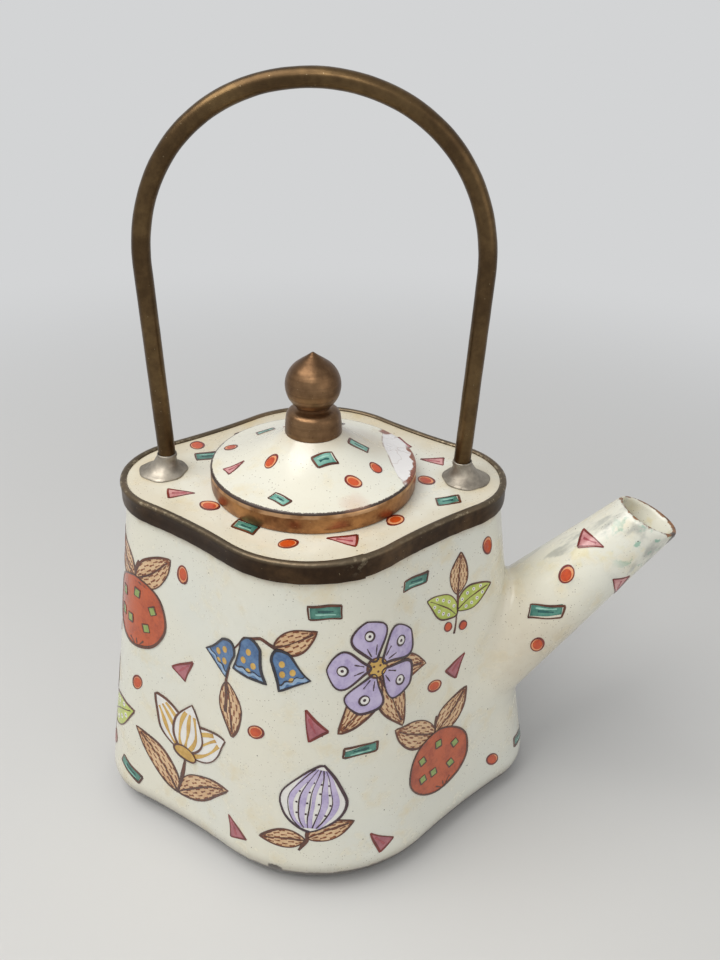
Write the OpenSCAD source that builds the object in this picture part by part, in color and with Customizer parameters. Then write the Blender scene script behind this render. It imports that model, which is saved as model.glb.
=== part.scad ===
// Miniature teapot in enamelled sheet copper with a brass shoulder band, an arched rod handle
// and a lift-off lid. Millimetres, +Z up. The origin is the middle of the resting face.
// The plan's long axis is X and the spout points along +X.

/* [Plan of the pot] */
// Half width of the shoulder along the spout, to the corner
shoulder_reach_x = 25.7; // [24:0.1:28]
// Half width of the shoulder across the spout, to the corner
shoulder_reach_y = 21.5; // [20.5:0.1:23.5]
// Corner radius of the shoulder at the spout and opposite it
shoulder_corner_x = 9.9; // [8:0.1:11]
// Corner radius of the shoulder at the front and the back
shoulder_corner_y = 14.1; // [11:0.1:16]
// Radius of the hollow sides at the shoulder
shoulder_hollow = 82; // [60:1:200]
// Half width of the foot along the spout, to the corner
foot_reach_x = 33; // [31:0.1:36]
// Half width of the foot across the spout, to the corner
foot_reach_y = 24.3; // [23:0.1:27]
// Corner radius of the foot at the spout and opposite it
foot_corner_x = 9.3; // [8:0.1:12]
// Corner radius of the foot at the front and the back
foot_corner_y = 21.5; // [17:0.1:22.5]
// Radius of the hollow sides at the foot
foot_hollow = 122; // [80:1:300]
// Turn of the foot against the shoulder, as the hand-raised body has it, degrees
foot_turn = 3.9; // [0:0.1:6]
// Shift of the foot towards the spout against the shoulder, from the same cause
foot_shift = 0.65; // [0:0.05:1.5]

/* [Body] */
// Height of the pot from the table to the top plate's upper face
pot_h = 54.45; // [50:0.05:60]
// Thickness of the enamelled wall
wall_t = 1; // [0.7:0.05:1.4]
// Thickness of the enamelled top and base plates
plate_t = 0.9; // [0.6:0.05:1.3]
// Radius of the rolled edge round the foot
foot_roll = 4.9; // [3.5:0.1:6]
// Width of the flat resting ring inside the rolled edge
foot_ring = 2.7; // [1.5:0.1:4]
// Bell of the wall: 1 is a straight taper, more flares at the foot
bell = 1.1; // [0.95:0.01:1.5]

/* [Shoulder band] */
// Depth of the band below the top plate's upper face
band_depth = 2.6; // [1.8:0.1:4]
// Thickness of the band outside the wall
band_t = 0.45; // [0.3:0.05:0.9]
// Width of the lip that laps over the top plate
lip_lap = 0.35; // [0.2:0.05:0.8]
// Height of the lip above the top plate
lip_rise = 0.35; // [0.2:0.05:0.6]
// Width of the seam where the strip's two ends meet
seam_w = 0.12; // [0.05:0.01:0.3]
// Distance of the seam from the front corner, towards the spout
seam_x = 6.75; // [4:0.05:9]

/* [Spout] */
// Distance from the pot's axis to the middle of the mouth
spout_reach = 47.2; // [45:0.1:50]
// Height of the middle of the mouth
spout_mouth_z = 48.4; // [46:0.1:51]
// Slope of the spout's axis above the horizontal, degrees
spout_slope = 47; // [44:0.5:51]
// Outer diameter at the mouth
spout_mouth_d = 8.8; // [7.5:0.1:10.5]
// Outer diameter at the root
spout_root_d = 14.5; // [12.5:0.1:16]
// Length along the axis from the mouth to the root
spout_len = 25.6; // [23:0.1:29]
// Wall of the spout
spout_t = 0.8; // [0.6:0.05:1.2]
// Slope of the plane that cuts the mouth, measured at its axis, degrees
mouth_slope = 64; // [47:0.5:70]

/* [Handle] */
// Height of the top of the handle above the table
handle_top = 105.75; // [98:0.05:114]
// Diameter of the handle rod
rod_d = 2.3; // [1.8:0.05:3]
// How much the rod is upset where a leg runs into the arch, on the radius
bend_bead = 0.02; // [0.015:0.005:0.06]
// Inward lean of the legs towards their feet, degrees
leg_lean = 2.6; // [1.5:0.1:4]
// Shift of the arch towards the spout, at its middle
arch_shift = 0.34; // [0:0.02:0.6]
// Turn of the handle's plane against the plan's long axis, degrees
handle_turn = 1.9; // [0:0.1:4]
// Distance from the shoulder's corner to the middle of a ferrule
foot_inset = 5; // [4.6:0.1:6]
// Diameter of the peened head under the top plate
peen_d = 3.8; // [3:0.1:5]
// Height of the peened head
peen_h = 0.8; // [0.5:0.05:1.2]

/* [Ferrules] */
// Diameter of the ferrule's flange
flange_d = 6.5; // [5:0.1:7]
// Thickness of the flange at its edge
flange_t = 0.25; // [0.15:0.05:0.5]
// Height of the ferrule
ferrule_h = 2.7; // [2:0.1:4]
// Wall of the ferrule's neck
ferrule_t = 0.3; // [0.2:0.05:0.6]
// Offset of the flange's middle outwards from the leg
ferrule_skew = 0.8; // [0:0.05:1]

/* [Lid] */
// Diameter of the lid
lid_d = 27.4; // [24:0.1:30]
// Height of the bare rim round the lid
rim_h = 2.65; // [2:0.05:4]
// Distance of the lid's axis in front of the middle of the plan
mouth_shift = 1.5; // [0:0.1:2.5]
// Thickness of the rim
rim_t = 0.8; // [0.5:0.05:1.2]
// Height of the knob's seat above the rim
dome_rise = 4.75; // [4:0.05:6]
// Height of the dome's edge above the rim
dome_edge = 0.35; // [0.2:0.05:0.6]
// Radius of the dome's hollow profile
dome_hollow = 19; // [14:0.5:40]
// Thickness of the enamelled dome
dome_t = 0.9; // [0.6:0.05:1.2]
// Width of the lid's ledge that rests on the top plate
lid_ledge = 2.2; // [1.8:0.1:3.5]
// Wall of the skirt that locates the lid
skirt_t = 0.6; // [0.4:0.05:1]
// Depth of the skirt below the top plate's upper face
skirt_depth = 4; // [2.5:0.1:6]

/* [Knob] */
// Height of the knob above its seat
knob_h = 11; // [10.4:0.05:12.5]
// Diameter of the knob's ball
ball_d = 7.25; // [6.6:0.05:7.8]
// Height of the ball's middle above the knob's seat
ball_up = 6.6; // [6.2:0.05:7]
// Diameter of the collar at its seat
collar_d = 7.5; // [6.8:0.1:8.4]
// Height of the collar
collar_h = 3.3; // [2.8:0.1:3.8]
// Narrowing of the collar towards its shoulder, on the radius
collar_draw = 0.15; // [0:0.05:0.4]
// Radius of the collar's shoulder
collar_round = 0.9; // [0.5:0.1:1.3]
// Diameter of the neck between the collar and the ball
neck_d = 4.4; // [3.4:0.1:5]
// Diameter of the knob's threaded stud
stud_d = 2; // [1.6:0.1:2.6]
// Length of stud below the nut
stud_tail = 0.6; // [0.3:0.1:1.5]
// Nut under the dome, across its flats
nut_flats = 4; // [3.6:0.1:5]
// Height of the nut
nut_h = 1.6; // [1.2:0.1:2.2]
// Diameter of the washer
washer_d = 5; // [4.4:0.1:6]
// Thickness of the washer
washer_t = 0.4; // [0.3:0.05:0.8]

/* [Fits] */
// Gap at each soldered or pressed fit
solder_gap = 0.05; // [0.02:0.01:0.1]
// Play between the lid's skirt and the top plate's hole, on the radius
lid_play = 0.3; // [0.2:0.05:0.6]
// Gap under the lid's rim at rest
lid_seat = 0.05; // [0.02:0.01:0.1]
// Running clearance of the rod and the stud in their holes, on the radius
bore_play = 0.05; // [0.02:0.01:0.1]
// Gap between the base plate's edge and the end of the rolled edge
base_play = 0.35; // [0.2:0.05:0.8]

/* [Hidden] */
$fn = 96;

// Points on each stretch of a quarter of the plan: spout corner, hollow side, front corner.
corner_x_steps = 7;
side_steps = 5;
corner_y_steps = 5;
quarter_steps = corner_x_steps + side_steps + corner_y_steps;
ring_steps = 4 * quarter_steps;
// Rings on the rolled edge and up the wall.
roll_steps = 6;
wall_steps = 10;
// Facets of a ferrule, round and up.
ferrule_round = 36;
ferrule_steps = 8;
// Length by which a cutting shape runs past what it cuts, and by which rod ends stop short of the bead's middle.
past = 1;
short = 0.1;

// Heights, from the table up.
plate_z = pot_h - plate_t;
band_z = pot_h - band_depth;
rim_z = pot_h + lid_seat;
dome_z = rim_z + rim_h;
seat_z = dome_z + dome_rise;
seat_under_z = seat_z - dome_t;
lid_r = lid_d / 2;
skirt_r = lid_r - lid_ledge;
mouth_r = skirt_r + lid_play;

// Handle: the two legs are tangents to the arch, so their mean lean and the overall height set its radius.
leg_x = shoulder_reach_x - foot_inset - ferrule_skew;
arch_rise = handle_top - rod_d / 2 - pot_h;
arch_r = (leg_x * cos(leg_lean) + arch_rise * sin(leg_lean)) / (1 + sin(leg_lean));
arch_z = handle_top - rod_d / 2 - arch_r;
arch_short = atan(short / arch_r);

// Length and lean of one leg, from its foot to where it touches the arch; side is 1 at the spout, -1 opposite.
function leg_span(side) = norm([leg_x - side * arch_shift, arch_z - pot_h]);
function leg_len(side) = sqrt(leg_span(side) * leg_span(side) - arch_r * arch_r);
function lean(side) = atan2(arch_z - pot_h, leg_x - side * arch_shift) - acos(arch_r / leg_span(side));

// Dome: a hollow arc from the lid's edge up to the edge of the knob's seat; this is the arc's middle.
seat_r = collar_d / 2;
dome_chord = [lid_r - seat_r, dome_edge - dome_rise];
dome_side = sqrt(dome_hollow * dome_hollow - dome_chord * dome_chord / 4) / norm(dome_chord);
dome_middle = [(lid_r + seat_r) / 2 - dome_chord[1] * dome_side,
    dome_z + (dome_rise + dome_edge) / 2 + dome_chord[0] * dome_side];

// Knob: a ball with a cone drawn out of it to the tip. The cone's foot lies just inside the ball.
tip_z = seat_z + knob_h;
ball_z = seat_z + ball_up;
tip_turn = acos(ball_d / 2 / (tip_z - ball_z));
tip_foot_r = 0.96 * ball_d / 2;

// Blend of two values.
function mix(a, b, share) = a + (b - a) * share;

// Shoulder and foot as lists: reach x, reach y, corner x, corner y, hollow.
shoulder = [shoulder_reach_x, shoulder_reach_y, shoulder_corner_x, shoulder_corner_y, shoulder_hollow];
foot = [foot_reach_x, foot_reach_y, foot_corner_x, foot_corner_y, foot_hollow];

// Share of the foot in the plan at a height: 1 at the rolled edge, 0 from the band up.
function foot_share(z) = pow(min(1, max(0, (band_z - z) / (band_z - foot_roll))), bell);

// Middle of the hollow side's arc, which touches both corner arcs from outside.
function hollow_centre(dx, dy, rx, ry, rs) =
    let (span = sqrt(dx * dx + dy * dy),
         along = ((rx + rs) * (rx + rs) - (ry + rs) * (ry + rs) + span * span) / (2 * span),
         high = sqrt((rx + rs) * (rx + rs) - along * along))
    [dx - dx / span * along + dy / span * high, dy / span * along + dx / span * high];

// A quarter of the plan from the spout corner to the back corner, drawn in by an inset.
function quarter(sizes, inset) =
    let (rx = sizes[2], ry = sizes[3], rs = sizes[4],
         dx = sizes[0] - rx,
         dy = sizes[1] - ry,
         c = hollow_centre(dx, dy, rx, ry, rs),
         turn_x = atan2(c[1], c[0] - dx),
         turn_y = atan2(c[1] - dy, c[0]))
    concat(
        [for (i = [0 : corner_x_steps - 1]) let (a = turn_x * i / corner_x_steps)
            [dx + (rx - inset) * cos(a), (rx - inset) * sin(a)]],
        [for (i = [0 : side_steps - 1]) let (a = 180 + mix(turn_x, turn_y, i / side_steps))
            [c[0] + (rs + inset) * cos(a), c[1] + (rs + inset) * sin(a)]],
        [for (i = [0 : corner_y_steps]) let (a = mix(turn_y, 90, i / corner_y_steps))
            [(ry - inset) * cos(a), dy + (ry - inset) * sin(a)]]);

// The whole plan from its quarter, by mirroring.
function plan(sizes, inset) =
    let (q = quarter(sizes, inset), n = quarter_steps)
    concat(
        [for (i = [0 : n - 1]) q[i]],
        [for (i = [0 : n - 1]) [-q[n - i][0], q[n - i][1]]],
        [for (i = [0 : n - 1]) -q[i]],
        [for (i = [0 : n - 1]) [q[n - i][0], -q[n - i][1]]]);

// The plan at a height of the body, with the foot's turn shared out over the wall.
function body_plan(z, inset) =
    let (share = foot_share(z), a = foot_turn * share,
         sizes = [for (i = [0 : len(foot) - 1]) mix(shoulder[i], foot[i], share)])
    [for (p = plan(sizes, inset))
        [p[0] * cos(a) - p[1] * sin(a) + foot_shift * share, p[0] * sin(a) + p[1] * cos(a)]];

// One ring of points from a section point, which holds a height and an inset.
function ring(at) = [for (p = body_plan(at[0], at[1])) [p[0], p[1], at[0]]];

// Heights of the rings up the wall, from the rolled edge to the underside of the top plate.
wall_heights = concat([for (i = [0 : wall_steps]) mix(foot_roll, band_z, i / wall_steps)], [plate_z]);

// Outer face of the body from the resting ring to the top plate, as section points.
function outer_section(gap) = concat(
    [for (i = [0 : roll_steps - 1]) let (a = 90 * i / roll_steps)
        [foot_roll * (1 - cos(a)), foot_roll * (1 - sin(a)) - gap]],
    [for (z = wall_heights) [z, -gap]]);

// Inner face of the body, from the top plate down to the resting ring.
inner_section = concat(
    [for (i = [0 : len(wall_heights) - 1]) [wall_heights[len(wall_heights) - 1 - i], wall_t]],
    [for (i = [1 : roll_steps]) let (a = 90 * i / roll_steps)
        [foot_roll - (foot_roll - wall_t) * sin(a), foot_roll - (foot_roll - wall_t) * cos(a)]]);

// Two triangles for each step round and each step along a list of rings of n points.
function skin(n, rings, closed) = [for (k = [0 : rings - (closed ? 1 : 2)], j = [0 : n - 1], half = [0, 1])
    let (a = k * n + j, b = k * n + (j + 1) % n, up = ((k + 1) % rings) * n, c = up + (j + 1) % n, d = up + j)
    half == 0 ? [a, c, b] : [a, d, c]];

// A closed section carried once round the plan.
module lapped(section) {
    rings = [for (at = section) ring(at)];
    polyhedron([for (r = rings, p = r) p], skin(ring_steps, len(rings), true), convexity = 8);
}

// A solid filled from ring to ring, closed at both ends by fans about middle points.
module filled(rings) {
    n = len(rings[0]);
    m = len(rings);
    middles = [for (r = [rings[0], rings[m - 1]]) [for (k = [0 : 2]) [for (p = r) p[k]] * [for (p = r) 1 / n]]];
    low = [for (j = [0 : n - 1]) [n * m, j, (j + 1) % n]];
    high = [for (j = [0 : n - 1]) [n * m + 1, n * (m - 1) + (j + 1) % n, n * (m - 1) + j]];
    polyhedron(concat([for (r = rings, p = r) p], middles), concat(skin(n, m, false), low, high), convexity = 6);
}

// The space taken up by the body, grown by a gap, to seat what is soldered to its outside.
module body_space(gap) {
    filled([for (at = outer_section(gap)) ring(at)]);
}

// Places a shape drawn along +Z at the spout's mouth, running down towards the pot.
module along_spout() {
    translate([spout_reach, 0, spout_mouth_z]) rotate([0, 270 - spout_slope, 0]) children();
}

// Outer radius of the spout at a distance from the mouth's middle towards the pot.
function spout_r(s) = mix(spout_mouth_d, spout_root_d, s / spout_len) / 2;

// A cone on the spout's axis between two distances from the mouth, thinner than the outside by an amount.
module spout_cone(from, to, less) {
    translate([0, 0, from]) cylinder(h = to - from, r1 = spout_r(from) - less, r2 = spout_r(to) - less);
}

// Length of spout left past the mouth for its slanted cut, and of bore past the root for the slanted wall.
mouth_spare = spout_mouth_d / 2;
root_spare = 0.9 * spout_root_d;

// Places a shape drawn in the handle's own plane.
module in_handle_plane() {
    rotate([0, 0, -handle_turn]) children();
}

// Places a shape at the foot of a leg, along the leg's own leaning line.
module at_leg(side) {
    in_handle_plane() translate([side * leg_x, 0, pot_h]) rotate([0, side * lean(side), 0]) children();
}

// Places a shape on the lid's axis.
module on_lid_axis() {
    translate([0, -mouth_shift, 0]) children();
}

// Hole for the handle rod through a plate or a ferrule.
module rod_hole(side) {
    at_leg(side) translate([0, 0, -plate_t - past])
        cylinder(h = ferrule_h + plate_t + 2 * past, d = rod_d + 2 * bore_play);
}

// Radius of the trumpet-shaped ferrule at a share of its height: an arc that ends upright at the neck.
function ferrule_r(share) =
    let (neck = rod_d / 2 + bore_play + ferrule_t,
         out = flange_d / 2 - neck,
         rise = ferrule_h - flange_t,
         arc = (out * out + rise * rise) / (2 * out),
         down = (1 - share) * rise)
    neck + arc - sqrt(arc * arc - down * down);

// A ferrule: round rings whose middles move from the flange in to the leg.
module ferrule(side) {
    heights = concat([0], [for (i = [0 : ferrule_steps]) flange_t + (ferrule_h - flange_t) * i / ferrule_steps]);
    rings = [for (h = heights)
        let (r = ferrule_r(max(0, (h - flange_t) / (ferrule_h - flange_t))),
             x = side * (leg_x + h * tan(lean(side)) + ferrule_skew * (1 - h / ferrule_h)))
        [for (j = [0 : ferrule_round - 1]) let (a = 360 * j / ferrule_round)
            [x + r * cos(a), r * sin(a), pot_h + h]]];
    difference() {
        in_handle_plane() filled(rings);
        rod_hole(side);
    }
}

// Keeps the half of a section that lies right of the axis, for turning.
module turned() {
    rotate_extrude() intersection() {
        children();
        translate([0, -pot_h]) square([2 * pot_h, 4 * pot_h]);
    }
}

// The wall of the pot: a bell-shaped lozenge rolled in at the foot, open at the top, with a hole for the spout.
module body_wall() {
    color("ivory") difference() {
        lapped(concat([[0, foot_roll + foot_ring]], outer_section(0), inner_section, [[wall_t, foot_roll + foot_ring]]));
        along_spout() spout_cone(spout_len / 2, spout_len + root_spare, spout_t);
    }
}

// The base plate lies inside the pot on the resting ring.
module base_plate() {
    color("oldlace") translate([0, 0, wall_t]) linear_extrude(plate_t)
        polygon(body_plan(0, foot_roll + base_play));
}

// The top plate closes the shoulder round the lid's mouth and carries the handle.
module top_plate() {
    color("ivory") difference() {
        translate([0, 0, plate_z]) linear_extrude(plate_t) difference() {
            polygon(plan(shoulder, 0));
            translate([0, -mouth_shift]) circle(r = mouth_r);
        }
        rod_hole(-1);
        rod_hole(1);
    }
}

// The band: a brass strip bent round the shoulder, with a rounded lip over the top plate's edge.
module shoulder_band() {
    round_in = min(band_t, lip_rise);
    section = [
        [band_z, -solder_gap], [band_z, -solder_gap - band_t],
        [pot_h, -solder_gap - band_t],
        [pot_h + 0.7 * lip_rise, -solder_gap - band_t + 0.3 * round_in],
        [pot_h + lip_rise, -solder_gap - band_t + round_in],
        [pot_h + lip_rise, lip_lap - 0.5 * round_in],
        [pot_h + 0.6 * lip_rise, lip_lap], [pot_h, lip_lap], [pot_h, -solder_gap]];
    color("saddlebrown") difference() {
        lapped(section);
        translate([seam_x, -shoulder_reach_y, band_z + band_depth / 2])
            cube([seam_w, shoulder_corner_y, 2 * band_depth], center = true);
    }
}

// The spout: a tapered tube cut at the mouth and seated on the outside of the wall.
module spout() {
    color("floralwhite") difference() {
        along_spout() difference() {
            spout_cone(-mouth_spare, spout_len + root_spare, 0);
            spout_cone(-mouth_spare - past, spout_len + root_spare + past, spout_t);
            rotate([0, spout_slope - mouth_slope, 0]) translate([0, 0, -spout_len])
                cube([2 * spout_len, 2 * spout_len, 2 * spout_len], center = true);
        }
        body_space(solder_gap);
    }
}

// The handle: an arch of round rod on two leaning legs that go through the top plate and are peened under it.
module handle() {
    color("peru") {
        in_handle_plane() translate([arch_shift, 0, arch_z]) rotate([90, 0, 0]) rotate([0, 0, arch_short - lean(1)])
            rotate_extrude(angle = 180 + lean(1) + lean(-1) - 2 * arch_short) translate([arch_r, 0])
                circle(d = rod_d, $fn = 32);
        for (side = [-1, 1]) {
            at_leg(side) translate([0, 0, -plate_t - peen_h / 2])
                cylinder(h = leg_len(side) - short + plate_t + peen_h / 2, d = rod_d, $fn = 32);
            at_leg(side) translate([0, 0, leg_len(side)]) sphere(d = rod_d + 2 * bend_bead, $fn = 32);
            in_handle_plane() translate([side * (leg_x - plate_t * tan(lean(side))), 0, plate_z - peen_h])
                cylinder(h = peen_h, d1 = rod_d, d2 = peen_d, $fn = 32);
        }
    }
}

module left_ferrule() {
    color("gray") ferrule(-1);
}

module right_ferrule() {
    color("gray") ferrule(1);
}

// The dome of the lid: a shell with a hollow profile like a sun hat's, flat under the knob, with a hole for its stud.
module lid_dome() {
    color("ivory") on_lid_axis() turned() difference() {
        translate([0, dome_z]) square([lid_r, dome_rise]);
        translate(dome_middle) circle(r = dome_hollow, $fn = 240);
        difference() {
            translate([0, dome_z - past]) square([lid_r - rim_t, dome_rise - dome_t + past]);
            translate(dome_middle) circle(r = dome_hollow + dome_t, $fn = 240);
        }
        translate([0, dome_z]) square([stud_d / 2 + bore_play, dome_rise + past]);
    }
}

// The rim of bare copper round the edge of the lid.
module lid_rim() {
    color("chocolate") on_lid_axis() translate([0, 0, rim_z]) difference() {
        cylinder(h = rim_h, r = lid_r);
        translate([0, 0, -past]) cylinder(h = rim_h + 2 * past, r = lid_r - rim_t);
    }
}

// The skirt that locates the lid in the top plate: a ring with a flange under the dome's edge.
module lid_skirt() {
    skirt_z = pot_h - skirt_depth;
    color("sienna") on_lid_axis() turned() {
        translate([skirt_r - skirt_t, skirt_z]) square([skirt_t, dome_z - skirt_z]);
        translate([skirt_r - skirt_t, dome_z - skirt_t])
            square([lid_r - rim_t - solder_gap - skirt_r + skirt_t, skirt_t]);
    }
}

// The knob: turned in one piece with its collar, neck, pointed ball and threaded stud.
module knob() {
    collar_top = seat_z + collar_h;
    shoulder_r = seat_r - collar_draw - collar_round;
    color("tan") on_lid_axis() turned() {
        translate([0, seat_z]) polygon([[0, 0], [seat_r, 0], [seat_r - collar_draw, collar_h - collar_round],
            [0, collar_h - collar_round]]);
        translate([0, seat_z]) square([shoulder_r, collar_h]);
        translate([shoulder_r, collar_top - collar_round]) circle(r = collar_round);
        translate([0, seat_z]) square([neck_d / 2, ball_up]);
        translate([0, ball_z]) circle(d = ball_d);
        polygon([[0, ball_z], [tip_foot_r * sin(tip_turn), ball_z + tip_foot_r * cos(tip_turn)], [0, tip_z]]);
        translate([0, seat_under_z - washer_t - nut_h - stud_tail])
            square([stud_d / 2, dome_t + washer_t + nut_h + stud_tail + past]);
    }
}

// The washer between the dome and the nut.
module knob_washer() {
    color("goldenrod") on_lid_axis() translate([0, 0, seat_under_z - washer_t]) difference() {
        cylinder(h = washer_t, d = washer_d);
        translate([0, 0, -past]) cylinder(h = washer_t + 2 * past, d = stud_d + 2 * bore_play);
    }
}

// The nut that holds the knob, on the stud under the washer.
module knob_nut() {
    color("darkgoldenrod") on_lid_axis() translate([0, 0, seat_under_z - washer_t - nut_h]) difference() {
        cylinder(h = nut_h, d = nut_flats / cos(30), $fn = 6);
        translate([0, 0, -past]) cylinder(h = nut_h + 2 * past, d = stud_d + 2 * bore_play);
    }
}

body_wall();
base_plate();
top_plate();
shoulder_band();
spout();
handle();
left_ferrule();
right_ferrule();
lid_dome();
lid_rim();
lid_skirt();
knob();
knob_washer();
knob_nut();
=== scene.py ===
# %% [markdown]
# # A miniature enamelled teapot
# The solids of this pot come from a CAD model and are loaded here as a fixed frame. This lesson dresses
# them: it replaces the pieces whose hand-made shape shows, paints the enamel, and gives every metal its
# own finish. All lengths below are thought of in millimetres, because the pot is small, and turned into
# metres at the end.

# %% Load the frame
import math
from functools import cached_property
import bpy
import numpy as np
from mathutils import Matrix, Vector


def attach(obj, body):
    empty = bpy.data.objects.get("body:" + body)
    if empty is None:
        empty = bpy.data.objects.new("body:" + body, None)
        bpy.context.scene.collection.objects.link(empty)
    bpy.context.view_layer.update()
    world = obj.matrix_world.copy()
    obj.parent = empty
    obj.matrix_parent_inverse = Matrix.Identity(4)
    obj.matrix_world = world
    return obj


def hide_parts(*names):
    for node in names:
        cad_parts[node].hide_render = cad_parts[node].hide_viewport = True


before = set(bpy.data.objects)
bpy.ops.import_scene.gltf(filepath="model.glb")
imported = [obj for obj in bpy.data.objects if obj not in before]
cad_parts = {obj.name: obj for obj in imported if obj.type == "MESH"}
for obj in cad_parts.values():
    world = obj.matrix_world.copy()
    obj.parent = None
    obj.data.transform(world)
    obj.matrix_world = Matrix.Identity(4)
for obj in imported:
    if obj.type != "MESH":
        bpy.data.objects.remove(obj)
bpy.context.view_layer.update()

MM = 0.001
scene = bpy.context.scene
scene.view_settings.view_transform = "Standard"
print("nodes:", sorted(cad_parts))

# %% [markdown]
# ## Camera
# The camera stands a hand's length in front of the pot and looks down on it. Its place, aim and lens
# were worked out from the ellipses of the lid and the outline of the shoulder. The matrix holds the
# camera's own right, up and backward directions as columns, which also keeps the slight roll of a
# camera held by hand.

# %% Camera
camera_data = bpy.data.cameras.new("camera")
camera_data.lens = 33.77
camera_data.sensor_width = 36
camera_data.clip_start = 0.005
camera = bpy.data.objects.new("camera", camera_data)
scene.collection.objects.link(camera)
camera_place = Vector((4.133, -107.836, 114.196))
camera_look = Vector((0.0172, 0.87198, -0.48925)).normalized()
held_up = Vector((-0.00998, 0.48944, 0.87198))
camera_right = camera_look.cross(held_up).normalized()
camera_up = camera_right.cross(camera_look)
camera_turn = Matrix((camera_right, camera_up, -camera_look)).transposed()
camera.matrix_world = Matrix.Translation(camera_place * MM) @ camera_turn.to_4x4()
scene.camera = camera
print("camera at", [round(v, 1) for v in camera_place], "mm")

# %% [markdown]
# ## Small helpers for modelling
# Operators act on whatever is selected, so every helper starts by selecting one object alone. A modifier
# is added, set and applied in one go, and edit-mode operators run on the whole mesh.

# %% Helpers for modelling


def alone(piece):
    """Selects one object and makes it active."""
    bpy.ops.object.select_all(action="DESELECT")
    piece.select_set(True)
    bpy.context.view_layer.objects.active = piece


def apply_modifier(piece, kind, **settings):
    """Adds a modifier, sets it and applies it."""
    alone(piece)
    modifier = piece.modifiers.new(kind.lower(), kind)
    for key, value in settings.items():
        setattr(modifier, key, value)
    bpy.ops.object.modifier_apply(modifier=modifier.name)


def edit(piece, *steps):
    """Runs edit-mode operators on the whole mesh, each given as a function."""
    alone(piece)
    bpy.ops.object.mode_set(mode="EDIT")
    bpy.ops.mesh.select_all(action="SELECT")
    for step in steps:
        step()
    bpy.ops.object.mode_set(mode="OBJECT")


def merge_and_face_out():
    """Closes seams and turns all faces outwards."""
    bpy.ops.mesh.remove_doubles(threshold=0.0005 * MM)
    bpy.ops.mesh.normals_make_consistent(inside=False)


def fill_holes():
    """Closes every open end with a face."""
    bpy.ops.mesh.fill_holes(sides=0)


def smooth(piece, angle=40):
    """Shades smooth, but keeps edges that are sharper than the angle."""
    alone(piece)
    bpy.ops.object.shade_smooth_by_angle(angle=math.radians(angle))


# %% [markdown]
# ## Sheet and lathe
# `rolled` starts from a flat grid, as a metalsmith starts from sheet, and lays its rows and columns on
# given points. `turned` starts from a circle and extrudes and scales it ring by ring, as a lathe would
# follow a profile. `put_on` then says which body of the frame carries a piece and what it stands for.

# %% Sheet and lathe


def set_points(piece, points):
    """Moves all vertices to points given in millimetres."""
    flat = np.ascontiguousarray(np.asarray(points, float).reshape(-1, 3) * MM)
    piece.data.vertices.foreach_set("co", flat.ravel())
    piece.data.update()


def rolled(name, rows):
    """A sheet of grid cells laid on rows of points; rows that meet are merged."""
    rows = np.asarray(rows, float)
    bpy.ops.object.select_all(action="DESELECT")
    down, across = rows.shape[0] - 1, rows.shape[1] - 1
    bpy.ops.mesh.primitive_grid_add(x_subdivisions=across, y_subdivisions=down, size=2)
    piece = bpy.context.object
    piece.name = name
    set_points(piece, rows)
    edit(piece, merge_and_face_out)
    return piece


def turned(name, profile, centre=(0.0, 0.0), sides=96):
    """A circle extruded and scaled along (radius, height) points; rings that meet are merged."""
    bpy.ops.object.select_all(action="DESELECT")
    radius, height = profile[0]
    bpy.ops.mesh.primitive_circle_add(vertices=sides, radius=radius * MM, location=(0, 0, 0))
    piece = bpy.context.object
    piece.name = name
    bpy.ops.object.mode_set(mode="EDIT")
    bpy.ops.mesh.select_all(action="SELECT")
    bpy.ops.transform.translate(value=(centre[0] * MM, centre[1] * MM, height * MM))
    for next_radius, next_height in profile[1:]:
        rise = (0, 0, (next_height - height) * MM)
        bpy.ops.mesh.extrude_region_move(TRANSFORM_OT_translate={"value": rise})
        share = next_radius / radius
        middle = (centre[0] * MM, centre[1] * MM, next_height * MM)
        bpy.ops.transform.resize(value=(share, share, 1), center_override=middle)
        radius, height = next_radius, next_height
    bpy.ops.mesh.select_all(action="SELECT")
    merge_and_face_out()
    bpy.ops.object.mode_set(mode="OBJECT")
    return piece


def put_on(piece, body, slot, *nodes):
    """Makes a piece ride on a body and stand for CAD nodes, which it hides; the slot is not used."""
    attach(piece, body)
    if nodes:
        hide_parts(*nodes)
    print(piece.name, len(piece.data.vertices), "points, stands for", nodes)


# %% [markdown]
# ## Shader arithmetic
# A material is a small sum: masks are added, multiplied and compared. Each step could be a Math node
# that is wired up by hand. Python expressions are easier to read, so `Wire` wraps a socket and each
# operator adds the Math node that it stands for.

# %% Shader arithmetic


class Wire:
    """A shader socket that can be used in sums."""

    def __init__(self, finish, socket):
        self.finish = finish
        self.socket = socket

    def math(self, operation, first, second=0.0):
        """Adds a Math node."""
        return self.finish.add("ShaderNodeMath", {"operation": operation}, {0: first, 1: second})

    def __add__(self, other):
        return self.math("ADD", self, other)

    def __radd__(self, other):
        return self.math("ADD", other, self)

    def __sub__(self, other):
        return self.math("SUBTRACT", self, other)

    def __rsub__(self, other):
        return self.math("SUBTRACT", other, self)

    def __mul__(self, other):
        return self.math("MULTIPLY", self, other)

    def __rmul__(self, other):
        return self.math("MULTIPLY", other, self)

    def __pow__(self, other):
        return self.math("POWER", self, other)

    def __lt__(self, other):
        return self.math("LESS_THAN", self, other)

    def __abs__(self):
        return self.math("ABSOLUTE", self)

    def between(self, low, high):
        """Rises smoothly from 0 at low to 1 at high."""
        settings = {"interpolation_type": "SMOOTHSTEP"}
        return self.finish.add("ShaderNodeMapRange", settings, {0: self, 1: low, 2: high})


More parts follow.
